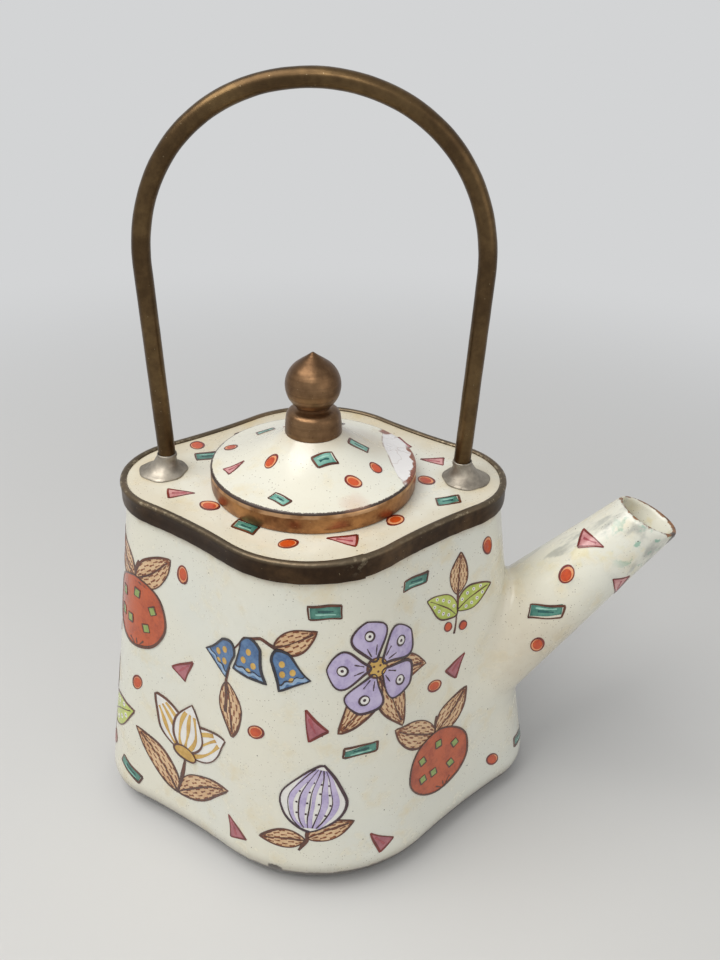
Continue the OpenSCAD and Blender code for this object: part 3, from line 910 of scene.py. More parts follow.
def trumpet_profile():
    """Height and radius of the ferrule's outside: a flange that curves up into a neck."""
    neck = ROD + 0.17
    out = FLANGE_R - neck
    arc = (out ** 2 + FERRULE_RISE ** 2) / (2 * out)
    rings = [(0.0, FLANGE_R - 0.10), (0.08, FLANGE_R), (0.22, FLANGE_R - 0.04)]
    for share in np.linspace(0.06, 1, 14):
        down = (1 - share) * FERRULE_RISE
        rings.append((FLANGE_T + share * FERRULE_RISE, neck + arc - math.sqrt(arc ** 2 - down ** 2)))
    return rings + [(2.80, neck - 0.05), (2.82, ROD + 0.05), (0.0, ROD + 0.05)]


def make_ferrule(side, name, node):
    """A ferrule on one side."""
    turn = np.linspace(0, 2 * math.pi, 73)
    uneven = 0.035 * np.sin(3 * turn + side) + 0.02 * np.sin(7 * turn)
    rows = []
    for height, radius in trumpet_profile():
        skew = FERRULE_SKEW * (1 - min(1.0, height / FERRULE_H)) * (radius > ROD + 0.2)
        x = side * (LEG_X + height * math.tan(leg_lean(side)) + skew)
        wobble = radius * (1 + uneven * (radius > 2.6))
        ring = zip(x + wobble * np.cos(turn), wobble * np.sin(turn))
        rows.append([by_handle(px, POT_HEIGHT + height, py) for px, py in ring])
    rows.append(rows[0])
    piece = rolled(name, rows)
    apply_modifier(piece, "DISPLACE", strength=0.14 * MM, **solder_lumps)
    smooth(piece, 50)
    dress(piece, grey_solder)
    put_on(piece, "pot", "solder", node)


make_ferrule(-1, "ferrule_left", "left_ferrule")
make_ferrule(1, "ferrule_right", "right_ferrule")

# %% [markdown]
# ## The lid
# The lid is a round hat of copper: a hollow, sloping dome covered with enamel and a rim left bare. Both
# are turned from their profiles. The dome's arc is the one of the CAD model, with its edge softened as
# enamel pools.

# %% Lid
LID_Y = -1.5
LID_R = 13.7
LID_SIDES = 160
DOME_Z = 57.15
DOME_EDGE = 0.35
DOME_RISE = 4.75
DOME_HOLLOW = 19.0
DOME_SHEET = 0.9
SEAT_R = 3.75
SEAT_Z = DOME_Z + DOME_RISE
SEAT_UNDER = SEAT_Z - DOME_SHEET
STUD_HOLE = 1.06
chord = np.array([LID_R - SEAT_R, DOME_EDGE - DOME_RISE])
half_chord = np.linalg.norm(chord) / 2
swing = math.sqrt(DOME_HOLLOW ** 2 - half_chord ** 2) / (2 * half_chord)
DOME_MIDDLE = np.array([(LID_R + SEAT_R) / 2 - chord[1] * swing,
                        DOME_Z + (DOME_RISE + DOME_EDGE) / 2 + chord[0] * swing])


def dome_height(radius, deeper=0.0):
    """Height of the dome's outside at a distance from the lid's axis, or of a shell deeper inside."""
    arc = DOME_HOLLOW + deeper
    return DOME_MIDDLE[1] - np.sqrt(arc ** 2 - (DOME_MIDDLE[0] - radius) ** 2)


edge_r = LID_R - 0.32
edge_z = float(dome_height(edge_r))
dome_profile = [(STUD_HOLE, SEAT_UNDER), (STUD_HOLE, SEAT_Z), (2.4, SEAT_Z), (3.4, SEAT_Z)]
for radius in np.linspace(SEAT_R, edge_r, 40):
    dome_profile.append((radius, float(dome_height(radius))))
dome_profile += [(LID_R - 0.15, edge_z - 0.06), (LID_R - 0.04, edge_z - 0.16), (LID_R, DOME_Z + 0.12)]
dome_profile += [(LID_R, DOME_Z), (LID_R - 0.85, DOME_Z)]
for radius in np.linspace(LID_R - 0.9, SEAT_R + 0.3, 16):
    dome_profile.append((radius, max(DOME_Z, float(dome_height(radius, DOME_SHEET)))))
dome_profile += [(2.4, SEAT_UNDER), (STUD_HOLE, SEAT_UNDER)]
dome = turned("lid_hat", dome_profile, (0, LID_Y), LID_SIDES)
smooth(dome, 40)
put_on(dome, "lid", "enamel", "lid_dome")

# %% [markdown]
# ## The rim of the lid
# The rim is a plain copper hoop with softened edges. Just under the enamel its rounded upper edge
# catches the light, so its metal gets a painted highlight there, a bright line broken up by noise.

# %% Rim of the lid
RIM_LOW = 54.5
RIM_SECTION = [
    (12.92, 0.0), (13.45, 0.0), (13.62, 0.06), (13.7, 0.22), (13.73, 0.8), (13.72, 1.6),
    (13.69, 2.4), (13.62, 2.6), (13.5, 2.64), (12.92, 2.64), (12.92, 0.0)]
rim_profile = [(radius, RIM_LOW + height) for radius, height in RIM_SECTION]
rim = turned("lid_edge", rim_profile, (0, LID_Y), LID_SIDES)
smooth(rim, 40)


def painted_rim_highlight(finish):
    """A painted highlight in a thin line just under the edge of the enamel."""
    height = finish.axis("Z") + (finish.noise(0.9, 3.0) - 0.5) * 0.2
    return height.between(RIM_LOW + 2.02, RIM_LOW + 2.2) * finish.noise(0.35, 2.0).between(0.35, 0.6) * 0.75


rim_copper = aged_metal(
    "rim_copper", (tint(106, 69, 44), tint(154, 106, 68), tint(200, 150, 98)), 0.28, 0.52,
    worn=painted_rim_highlight, wear_and_highlight_tone=tint(222, 178, 134))
dress(rim, rim_copper)
put_on(rim, "lid", "bare_copper", "lid_rim")

# %% [markdown]
# ## The lid's finish
# The kiln left a burnt line round the edge of the dome and a pink blush at the front. On the spout's
# side a piece was broken out and filled with a smooth, white repair, which ends in a ragged line
# towards the middle and has bare copper along the rim. Round the knob the enamel is stained, and to its
# right a painted shade makes it yellower. Every mark is a mask of its own, mixed over the ivory in the
# order of its history.

# %% Finish of the lid
CHIPPED_RIM = (13.4, LID_Y - 1, 57.4)
BARE_SPOT = (10.0, LID_Y + 8.6, 57.8)
BLUSH = (5.7, -13.2, 57.4)


def lid_enamel():
    """The lid's enamel, with its burnt edge, its white repair, the tea stain at the knob and painted shade
    beside it.
    """
    finish = Finish("lid_enamel")
    colour, cloud = ivory(finish)
    x = finish.axis("X")
    y = finish.axis("Y") - LID_Y
    out = (x * x + y * y) ** 0.5
    ragged = finish.noise(0.5, 4.0)
    by_knob = (1 - (out + ragged * 1.5).between(4.2, 6.6)) * 0.28
    # painted shade: right of the knob, where the hollow turns from the light, the enamel is made yellower
    shade = (1 - finish.distance_to((7.0, 1.5, 60)).between(1.5, 7)) * 0.3
    colour = finish.mix(by_knob + shade, colour, STAIN_AND_SHADE)
    bend = 6 - y
    inward = x - 9.3 - bend * bend * 0.0164 + (finish.noise(0.2, 2.0) - 0.5) * 1.1
    repair = inward.between(-0.06, 0.06) * (y - 0.3).between(-8.5, -7.5)
    border = (1 - abs(inward).between(0.05, 0.16)) * finish.noise(0.5, 2.0).between(0.40, 0.52)
    crack = 1 - abs(finish.noise(0.22, 2.0, 0.5, finish.moved((4, 9, 0))) - 0.5).between(0.004, 0.012)
    colour = finish.mix(repair, colour, finish.mix(cloud, tint(235, 233, 232), tint(225, 222, 222)))
    colour = finish.mix(border * 0.6 + crack * repair * 0.3, colour, tint(146, 112, 88))
    burnt = finish.noise(3.6, 4.0, 0.75)
    thinner = (x - y * 0.6).between(-2, 8) * 0.12
    edge_line = (out + burnt * 0.5 - thinner).between(13.60, 13.72)
    colour = finish.mix(edge_line, colour, tint(54, 36, 26))
    by_repair = 1 - finish.distance_to(CHIPPED_RIM).between(4.5, 6)
    bare = (out + finish.noise(0.8, 4.0, 0.6) * 1.6).between(13.85, 14.0) * by_repair
    bare = bare + 1 - (finish.distance_to(BARE_SPOT) + ragged * 1.6).between(1.5, 2.0)
    copper = finish.mix(burnt.between(0.4, 0.6), tint(116, 58, 38), tint(152, 88, 58))
    colour = finish.mix(bare, colour, copper)
    blush = 1 - (finish.distance_to(BLUSH) + ragged * 3.4).between(2.2, 4.6)
    colour = finish.mix(blush * 0.3, colour, tint(204, 152, 128))
    relief = border * -0.5 - repair * 0.5 - crack * repair * 0.2
    return glossy(finish, colour, cloud + edge_line * 2, relief)


dress(dome, lid_enamel())
print("lid_enamel has", len(dome.active_material.node_tree.nodes), "nodes")

# %% [markdown]
# ## The knob
# The knob was turned from one brass bar: a collar, a short neck, a ball drawn up to a point, and below
# the seat a stud for the nut. Its profile is a list of radii and heights, and fine rings in the bump
# stand for tool marks.

# %% Knob
BALL_UP = 6.6
BALL_R = 3.625
knob_profile = [
    (0.3, -3.5), (0.9, -3.5), (1.0, -3.38), (1.0, 0.0), (3.66, 0.0), (3.74, 0.08), (3.75, 0.25),
    (3.70, 1.2), (3.62, 2.0), (3.55, 2.45), (3.38, 2.82), (3.08, 3.1), (2.7, 3.24), (2.36, 3.3),
    (2.2, 3.42), (2.2, 3.62)]
for turn in np.radians(np.linspace(-52, 58, 30)):
    knob_profile.append((BALL_R * math.cos(turn), BALL_UP + BALL_R * math.sin(turn)))
knob_profile += [(1.55, 9.95), (1.15, 10.22), (0.80, 10.46), (0.50, 10.68), (0.26, 10.86), (0.10, 10.97)]
knob = turned("knob_turning", [(radius, SEAT_Z + height) for radius, height in knob_profile], (0, LID_Y))
edit(knob, fill_holes, merge_and_face_out)
smooth(knob, 35)
dress(knob, knob_brass)
put_on(knob, "lid", "turned_brass", "knob")

# %% [markdown]
# ## Pieces that keep their CAD shape
# The top plate, the base and the parts under the lid have the right shape already. They only get their
# finish. On the plate, stains gather round the feet of the handle, the enamel grows yellower towards the
# back, and along the band grime and painted shade of the band darken it.

# %% Carried-over pieces


def plate_enamel():
    """The enamel of both plates, stained round the handle's feet, yellower towards the back, and darkened
    along the band by grime and painted shade.
    """
    finish = Finish("plate_enamel")
    colour, cloud = ivory(finish)
    ragged = finish.noise(0.4, 4.0)
    stain = (finish.axis("Y") + ragged * 6).between(4, 22) * 0.16
    for side in (-1, 1):
        foot = by_handle(side * (LEG_X + FERRULE_SKEW), POT_HEIGHT)
        stain = stain + (1 - (finish.distance_to(foot) + ragged * 2).between(3.4, 6.2)) * 0.3
    # painted shade: along the band the plate is darkened, as grime and as the band's shadow on it
    by_band = abs(finish.axis("X")) * (1 / SHOULDER[0]) + abs(finish.axis("Y")) * (1 / SHOULDER[1])
    stain = stain + (by_band + ragged * 0.3).between(0.95, 1.3) * 0.3
    return glossy(finish, finish.mix(stain, colour, tint(192, 162, 100)), cloud)


plate_finish = plate_enamel()
carried_over = {"top_plate": plate_finish, "base_plate": plate_finish, "lid_skirt": inner_copper,
                "knob_washer": nut_brass, "knob_nut": nut_brass}
for node, material in carried_over.items():
    dress(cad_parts[node], material)
    print(node, "keeps its shape and gets", material.name)

# %% [markdown]
# ## Where the painter's brush lands
# The decoration lies on the enamel as thin coats of coloured glaze, so it is made as thin skins that
# follow each surface. A design is drawn flat, in millimetres, and one function for each surface lays it
# down: distance round the wall and height, plan of the plate, plan of the lid, or turn and run of the
# spout. Bilinear steps between a dense set of wall points keep the skins on the wall's true curve.

# %% Surfaces to paint on
wall_heights = np.linspace(0.6, 53.0, 263)
wall_net = np.array([body_ring(z, roll_inset(z)) for z in wall_heights])
middle_ring = wall_net[np.argmin(abs(wall_heights - 28))]
wall_round = np.concatenate([[0], np.cumsum(np.linalg.norm(np.diff(middle_ring, axis=0), axis=1))])
wall_round -= wall_round[2 * QUARTER]
net_out = np.cross(np.gradient(wall_net, axis=1), np.gradient(wall_net, axis=0))
net_out /= np.linalg.norm(net_out, axis=2, keepdims=True)


def on_wall(flat, lift):
    """Distance round the wall from the front corner, and height."""
    once_round = np.mod(flat[:, 0] - wall_round[0], wall_round[-1] - wall_round[0]) + wall_round[0]
    column = np.interp(once_round, wall_round, np.arange(len(wall_round)))
    row = np.interp(flat[:, 1], wall_heights, np.arange(len(wall_heights)))
    c = np.minimum(column.astype(int), len(wall_round) - 2)
    r = np.minimum(row.astype(int), len(wall_heights) - 2)
    u = (column - c)[:, None]
    v = (row - r)[:, None]
    laid = []
    for net in (wall_net, net_out):
        low = net[r, c] * (1 - u) + net[r, c + 1] * u
        high = net[r + 1, c] * (1 - u) + net[r + 1, c + 1] * u
        laid.append(low * (1 - v) + high * v)
    return laid[0] + laid[1] * lift


def on_plate(flat, lift):
    """Plan of the top plate."""
    return np.column_stack([flat, np.full(len(flat), POT_HEIGHT + lift)])


def on_lid(flat, lift):
    """Plan of the lid, from its own axis; the lift grows a little, because the dome slopes."""
    radius = np.hypot(flat[:, 0], flat[:, 1])
    return np.column_stack([flat[:, 0], flat[:, 1] + LID_Y, dome_height(radius) + lift * 1.08])


def on_spout(flat, lift):
    """Distance round the spout from its near side, and distance from the mouth."""
    laid = []
    for around, along in flat:
        angle = around / (SPOUT_MOUTH_R + SPOUT_TAPER * along) - math.pi / 2
        laid.append(spout_point(angle, along, lift))
    return np.array(laid)


print("wall is", round(wall_round[-1] - wall_round[0], 1), "mm round at middle height")

# %% [markdown]
# ## Brush strokes
# Every mark is a blade: a middle line with a half width at each point. An oval, a leaf, a petal, a
# strip and a wedge only differ in how the width runs along the line. Four sizes of grid serve for all
# marks: fills, long lines, short dashes and dots.

# %% Brush strokes
FILL, LINE, DASH, DOT = (20, 8), (44, 1), (5, 1), (12, 4)
THINNEST = 0.015


def blade(line, half, across):
    """Points of a blade, along by across."""
    way = np.gradient(line, axis=0)
    way = way / (np.linalg.norm(way, axis=1, keepdims=True) + 1e-9)
    left = np.stack([-way[:, 1], way[:, 0]], 1)
    sides = np.linspace(-1, 1, across + 1)
    return line[:, None, :] + left[:, None, :] * half[:, None, None] * sides[None, :, None]


def blade_half(form, t, width):
    """Half width along a blade of a form."""
    if form == "round":
        half = np.sqrt(np.maximum(0, 1 - (2 * t - 1) ** 2))
    elif form == "leaf":
        half = np.sin(math.pi * t ** 0.8) ** 0.9
    elif form == "petal":
        half = np.sin(math.pi * np.clip(t, 0, 1) ** 1.7) ** 0.75 + 0.12 * (1 - t)
    elif form == "bell":
        half = np.minimum(1, np.sqrt(t / 0.2)) * (0.58 + 0.12 * t + 0.30 * t ** 4)
    elif form == "wedge":
        half = 1 - t
    else:
        half = np.ones(len(t))
    return np.maximum(half * width, THINNEST)


def soft_steps(cells, form):
    """Places along a blade, closer together at round ends."""
    t = np.linspace(0, 1, cells + 1)
    return t if form in ("strip", "wedge") else (1 - np.cos(math.pi * t)) / 2


print("cells of a fill, a line, a dash and a dot:", FILL, LINE, DASH, DOT)

# %% [markdown]
# ## Motifs
# A painter repeats a small design from memory, never twice the same. `Motif` gathers the strokes of one
# design, drawn flat round its own middle, with small random slips. `put` then lays it on a surface.
# Marks are gathered by colour and kind, because marks of one kind share one small grid and become one
# object. The random numbers start from a fixed seed, so the pot comes out the same each time.

# %% Motifs
marks = {}
hand = np.random.default_rng(23)


class Motif:
    """A small design drawn flat round its own middle; a higher coat covers what was drawn before it."""

    def __init__(self):
        self.parts = []
        self.coat = 0
        self.edge = None

    def form(self, colour, form, start, turn, length, width, bend=0.0, kind=FILL):
        """A filled blade, turned in degrees from upright; returns a map of its inside."""
        t = soft_steps(kind[0], form)
        start = np.asarray(start) + hand.uniform(-0.04, 0.04, 2)
        angle = math.radians(turn)
        ahead = np.array([-math.sin(angle), math.cos(angle)])
        aside = np.array([math.cos(angle), math.sin(angle)])

        def middle(t):
            t = np.asarray(t, float)[..., None]
            return start + ahead * length * t + aside * bend * length * t * t

        def inside(t, across):
            t = np.atleast_1d(np.asarray(t, float))
            step = 1e-3
            way = middle(t + step) - middle(t - step)
            way = way / np.linalg.norm(way, axis=1, keepdims=True)
            left = np.stack([-way[:, 1], way[:, 0]], 1)
            return middle(t) + left * (blade_half(form, t, width) * across)[:, None]

        grid = blade(middle(t), blade_half(form, t, width), kind[1])
        if colour:
            self.parts.append((colour, kind, self.coat, grid))
        self.edge = np.concatenate([grid[:, 0], grid[-1, 1:], grid[-2::-1, -1], grid[0, -2::-1]])
        return inside

    def line(self, colour, path, half=0.13, kind=LINE):
        """A brush line along a path, with a little pressure and release."""
        path = np.asarray(path, float)
        steps = np.linalg.norm(np.diff(path, axis=0), axis=1)
        run = np.concatenate([[0], np.cumsum(steps)])
        keep = np.concatenate([[True], steps > 1e-6])
        at = np.linspace(0, run[-1], kind[0] + 1)
        smooth_path = np.stack([np.interp(at, run[keep], path[keep, k]) for k in (0, 1)], 1)
        press = 1 + 0.38 * np.sin(np.linspace(0, 1, kind[0] + 1) * hand.uniform(4, 9) + hand.uniform(0, 6))
        self.parts.append((colour, kind, self.coat, blade(smooth_path, press * half, kind[1])))

    def rim(self, colour, half=0.13):
        """A line round the last form."""
        self.line(colour, self.edge, half)

    def dot(self, colour, middle, radius, stretch=1.0):
        """A small round dot, which leaves the last form's edge as it was."""
        edge = self.edge
        start = (middle[0], middle[1] - radius * stretch)
        self.form(colour, "round", start, 0, 2 * radius * stretch, radius, 0, DOT)
        self.edge = edge

    def ring(self, colour, middle, radius, half=0.09):
        """A thin ring."""
        turn = np.linspace(0, 2 * math.pi, 25)
        path = np.stack([middle[0] + radius * np.cos(turn), middle[1] + radius * np.sin(turn)], 1)
        self.line(colour, path, half)

    def hatch(self, colour, inside, rows, across, half=0.085, reach=0.78):
        """Short strokes inside a form, row by row, as the grain of a leaf is drawn."""
        for row, t in enumerate(np.linspace(0.08, 0.84, rows)):
            for side in np.linspace(-0.74, 0.74, across) + (0.12 if row % 2 else -0.12):
                t0 = t + hand.uniform(-0.012, 0.012)
                along = np.linspace(t0, t0 + reach / rows, 4)
                path = inside(along, side * np.array([1.0, 1.0, 0.99, 0.97]))
                self.line(colour, path, half * hand.uniform(0.8, 1.25), DASH)

    def put(self, place, middle, turn=0.0, size=1.0, skew=0.0, tremble=0.05):
        """Lays the design on a surface, turned, sized, a little askew and with a trembling hand."""
        angle = math.radians(turn)
        spin = np.array([[math.cos(angle), math.sin(angle)], [-math.sin(angle), math.cos(angle)]])
        phase = hand.uniform(0, 2 * math.pi, 2)
        for colour, kind, coat, grid in self.parts:
            flat = grid.reshape(-1, 2)
            flat = flat + tremble * np.sin(flat[:, ::-1] * 1.5 + phase)
            flat = (flat + flat[:, 1:] * [skew, 0]) @ spin * size + np.asarray(middle)
            group = marks.setdefault((place is on_lid, colour, kind), [])
            group.append((place, flat.reshape(grid.shape), coat))


# %% [markdown]
# ## Confetti
# Between the larger designs lie scattered ovals, rectangles and triangles, a common filler on painted
# wares. Each has a dark rim, and a spot, a dash or a line inside. The lid has thinner washes than the
# wall, and the wall and the spout have longer rectangles.

# %% Confetti


def orange_oval():
    """A peach oval in a dark red ring, with an orange core that leaves some of the peach bare."""
    mark = Motif()
    mark.form("peach", "round", (0, -1.25), 0, 2.5, 1.0)
    mark.rim("dark red", 0.12)
    mark.dot("orange", hand.uniform(-0.1, 0.1, 2), hand.uniform(0.64, 0.84), 1.25)
    return mark


def teal_block(colour="sea green", reach=1.7):
    """A green rectangle with a dark dash, in a crooked brown frame that it doesn't quite fill."""
    mark = Motif()
    half = hand.uniform(0.78, 0.98)
    fill = reach - 0.2
    mark.form(colour, "strip", (0, -fill), hand.uniform(-4, 4), 2 * fill, half - 0.13)
    mark.form(None, "strip", (0, -reach), 0, 2 * reach, half, hand.uniform(-0.05, 0.05))
    mark.rim("brown", 0.14)
    mark.line("deep teal", [(0.05, -0.5 * reach), (0.0, 0.0), (0.1, 0.44 * reach)], 0.14, DASH)
    mark.line("pale teal", [(-0.40, -0.65 * reach), (-0.40, 0.0), (-0.36, 0.59 * reach)], 0.10, DASH)
    return mark


def lid_block():
    """The same in a thinner, paler wash."""
    return teal_block("teal")


def long_block():
    """The same, drawn longer for the large faces of the wall and the spout."""
    return teal_block(reach=2.4)


def pink_wedge(colour="pink"):
    """A pink triangle with a line down its middle."""
    mark = Motif()
    mark.form(colour, "wedge", (0, -1.6), 0, 3.5, 1.2)
    mark.rim("dark red", 0.12)
    mark.line("rose", [(-0.1, -1.1), (0.0, 0.0), (0.0, 0.8)], 0.13, DASH)
    return mark


def wall_wedge():
    """The same in a deeper wash."""
    return pink_wedge("mauve")


# %% [markdown]
# ## Scattering the confetti
# Each piece of confetti has a place, as two distances on its surface, and a turn. Its exact size and its
# slant are left to chance within narrow bounds, as they are in quick brushwork.

# %% Scattered confetti


def scatter(place, kind, size, *spots):
    """Puts one kind of confetti at places, each given as two distances and a turn."""
    for first, second, turn in spots:
        mark = kind()
        own_size = size * hand.uniform(0.88, 1.08)
        mark.put(place, (first, second), turn, own_size, hand.uniform(-0.24, 0.24), 0.06)


scatter(on_lid, lid_block, 0.76,
        (-6.9, 6.6, -70), (1.6, -5.4, -55), (6.0, -1.0, 84), (-3.8, -11.0, 40), (2.5, 9.6, 80))
scatter(on_lid, orange_oval, 0.8,
        (-11.4, 2.7, 70), (-5.3, -4.6, -40), (5.3, -7.7, 80), (8.2, -4.2, 30), (-2.2, 11.3, 60))
scatter(on_lid, pink_wedge, 0.74, (-10.2, -3.4, -60), (-3.2, 7.0, 120))
scatter(on_plate, teal_block, 1.0,
        (-15.1, 5.2, -75), (-8.0, -13.5, 70), (17.7, -6.6, -80), (6.8, 13.6, 60), (-10.6, 11.0, 35))
scatter(on_plate, orange_oval, 1.0,
        (-13.2, -8.4, 85), (-2.6, -17.2, 85), (10.6, -11.6, -60), (15.2, -1.2, 60), (0.6, 16.8, 90),
        (-17.2, 8.4, 30))
scatter(on_plate, pink_wedge, 1.0,
        (4.0, -16.2, 85), (16.6, 4.4, 80), (-17.3, -5.4, -80), (12.4, 9.8, 20), (-5.6, 14.4, 100))
scatter(on_spout, pink_wedge, 1.1, (5.4, 7.8, 130), (-3.4, 9.4, 40), (15.5, 12.0, 60))
scatter(on_spout, orange_oval, 1.0, (4.2, 13.2, 20), (-1.0, 23.2, 60), (-8.5, 12.0, 10), (15.0, 5.5, 0))
scatter(on_spout, long_block, 1.0, (2.2, 18.8, 127), (-9.5, 19.0, 100), (17.5, 17.5, 20))
print("confetti laid:", sum(len(group) for group in marks.values()), "marks")

# %% [markdown]
# ## Leaves and stalks
# The wall carries larger designs, drawn with brown lines and short hatching strokes. Two kinds of leaf
# and one stalk serve for all of them: a tan leaf hatched all over like a feather, and a green leaf with
# ringed dots.

# %% Leaves and stalks
MIDRIB = np.linspace(0, 0.9, 8)


def feather_leaf(motif, start, turn, length, width, bend=0.15):
    """A tan leaf drawn all over with short brown strokes."""
    inside = motif.form("tan", "leaf", start, turn, length, width, bend)
    motif.rim("brown", 0.12)
    motif.hatch("hatch brown", inside, max(6, int(length / 0.95)), 5 if width > 1.7 else 4)
    motif.line("brown", inside(MIDRIB, 0 * MIDRIB), 0.10)


def green_leaf(motif, start, turn, length, width, bend=0.15):
    """A yellow-green leaf with white dots beside its middle line."""
    inside = motif.form("lime", "leaf", start, turn, length, width, bend)
    motif.rim("brown", 0.12)
    motif.line("brown", inside(MIDRIB, 0 * MIDRIB), 0.09)
    for t in np.linspace(0.22, 0.74, 4):
        for side in (-0.5, 0.5):
            spot = inside(t, np.array([side]))[0]
            motif.dot("white", spot, 0.34)
            motif.dot("brown", spot, 0.12)


def stalk(motif, path, half=0.16):
    """A brown stalk along a path."""
    motif.line("brown", path, half)


# %% [markdown]
# ## Blossom, fruit and tulip
# Each design is drawn once, as a function, from its hidden leaves to its topmost petals. A higher coat
# lifts a stroke a little, so that petals cover the leaves behind them as a second layer of glaze would.

# %% Blossom, fruit and tulip
FRUIT_SPOTS = ((-2.6, 1.4, 10), (0.4, 2.2, -10), (2.9, 0.6, 20),
               (-1.2, -1.6, 0), (1.7, -2.2, 15), (-3.0, -1.4, 5))


def blossom():
    """A lilac blossom with five dotted petals on three feathery leaves."""
    motif = Motif()
    for turn, length in ((150, 8.4), (205, 8.8), (262, 7.6)):
        feather_leaf(motif, (0, -1.0), turn, length, 1.9)
    motif.coat = 1
    for turn in range(8, 360, 72):
        angle = math.radians(turn)
        ahead = np.array([-math.sin(angle), math.cos(angle)])
        aside = np.array([math.cos(angle), math.sin(angle)])
        motif.form("lilac", "petal", ahead * 0.9, turn, 5.2, 2.35, hand.uniform(-0.05, 0.05))
        motif.rim("plum", 0.13)
        spot = ahead * 4.3
        motif.dot("white", spot, 0.62)
        motif.ring("plum", spot, 0.62, 0.10)
        motif.dot("plum", spot, 0.2)
        for side in (-0.9, 0.9):
            vein = [ahead * 1.7 + aside * side * 0.35, ahead * 2.9 + aside * side * 0.75]
            motif.line("plum", vein, 0.07, DASH)
    motif.dot("ochre", (0, 0), 1.3)
    motif.ring("brown", (0, 0), 1.3, 0.12)
    for spot in ((-0.4, 0.3), (0.45, 0.2), (0.0, -0.5)):
        motif.dot("brown", spot, 0.16)
    return motif


def fruit():
    """An orange fruit with square green spots under two feathery leaves."""
    motif = Motif()
    stalk(motif, [(0, 3.6), (0.3, 5.4), (1.0, 6.6)], 0.2)
    feather_leaf(motif, (0.2, 4.2), 62, 7.6, 2.0, 0.2)
    feather_leaf(motif, (0.2, 4.2), -68, 7.2, 1.9, -0.2)
    motif.coat = 1
    motif.form("rust", "round", (0, -5.2), 0, 9.6, 5.0)
    motif.rim("brown", 0.15)
    for x, y, turn in FRUIT_SPOTS:
        start = (x + 0.55 * math.sin(math.radians(turn)), y - 0.55)
        motif.form("sage", "strip", start, turn, 1.1, 0.5, 0, DOT)
        motif.rim("brown", 0.08)
    for x in (-1.2, 0.0, 1.2):
        motif.line("brown", [(x * 0.4, -4.9), (x, -4.2)], 0.09, DASH)
    return motif


def tulip():
    """A white tulip with ochre stripes, and one long feathery leaf each side."""
    motif = Motif()
    stalk(motif, [(0, 0.4), (0.2, -3.2), (-0.2, -7.4)], 0.2)
    feather_leaf(motif, (-0.1, -7.2), 38, 9.6, 1.7, -0.22)
    feather_leaf(motif, (-0.1, -7.2), -36, 9.0, 1.7, 0.22)
    for coat, turn, bend, middle in ((1, 24, -0.28, -0.5), (1, -24, 0.28, 0.5), (2, 0, 0.0, 0.0)):
        motif.coat = coat
        inside = motif.form("white", "leaf", (middle, -0.2), turn, 7.8, 2.3, bend)
        motif.rim("brown", 0.13)
        for side in (-0.55, 0.0, 0.55):
            motif.line("ochre", inside(np.linspace(0.1, 0.8, 8), np.full(8, side)), 0.22)
    motif.coat = 3
    motif.form("ochre", "round", (0, -1.2), 0, 1.9, 1.7)
    motif.rim("brown", 0.12)
    return motif


# %% [markdown]
# ## Bells, pod and sprig
# The bells hang from one bent stalk, so each only differs in its place, turn and size. The pod's
# stripes follow the map that its own form returns, and bend with it. The sprig's two berries are larger
# dots with a ring.

# %% Bells, pod and sprig


def bells():
    """Three blue bells with ochre spots, hanging from a bent stalk over a feathery leaf."""
    motif = Motif()
    feather_leaf(motif, (-1.4, -3.0), 196, 7.4, 1.7, 0.1)
    feather_leaf(motif, (4.9, 4.6), -72, 5.6, 1.5, -0.2)
    stalk(motif, [(-1.2, -7.4), (-1.5, -3.0), (-0.9, 1.5), (0.8, 4.3), (3.2, 5.1), (5.3, 4.4)], 0.17)
    motif.coat = 1
    for x, y, turn, size in ((-1.0, 2.6, 150, 0.9), (1.7, 4.7, 180, 1.0), (5.2, 4.3, 208, 0.92)):
        inside = motif.form("blue", "bell", (x, y), turn, 5.2 * size, 2.3 * size)
        motif.rim("ink", 0.14)
        for t, side in ((0.36, -0.1), (0.62, -0.45), (0.66, 0.4), (0.86, 0.0)):
            motif.dot("ochre", inside(t, np.array([side]))[0], 0.36, 1.2)
        across = np.linspace(-0.94, 0.94, 13)
        frill = 0.90 + 0.035 * np.cos(across * 8)
        motif.line("pale blue", inside(frill, across), 0.2)
        motif.line("ink", inside(frill - 0.06, across), 0.07)
    return motif


def striped_pod():
    """A pale pod with lilac stripes and little dots between them, on a stalk with two small leaves."""
    motif = Motif()
    stalk(motif, [(0, -3.6), (-0.4, -5.6), (-1.4, -7.2)], 0.18)
    feather_leaf(motif, (-0.4, -5.2), -64, 5.4, 1.5, 0.15)
    feather_leaf(motif, (-0.6, -5.6), 84, 4.8, 1.4, -0.15)
    motif.coat = 1
    inside = motif.form("white", "leaf", (0, -4.2), -12, 10.2, 3.5, 0.1)
    motif.rim("plum", 0.14)
    stripe = np.linspace(0.06, 0.92, 12)
    for side in (-0.66, -0.33, 0.0, 0.33, 0.66):
        motif.line("lilac", inside(stripe, np.full(12, side)), 0.28)
        motif.line("plum", inside(stripe, np.full(12, side + 0.1)), 0.06)
    for side in (-0.5, -0.17, 0.17, 0.5):
        for t in (0.26, 0.42, 0.58, 0.72):
            motif.dot("plum", inside(t, np.array([side]))[0], 0.13)
    return motif


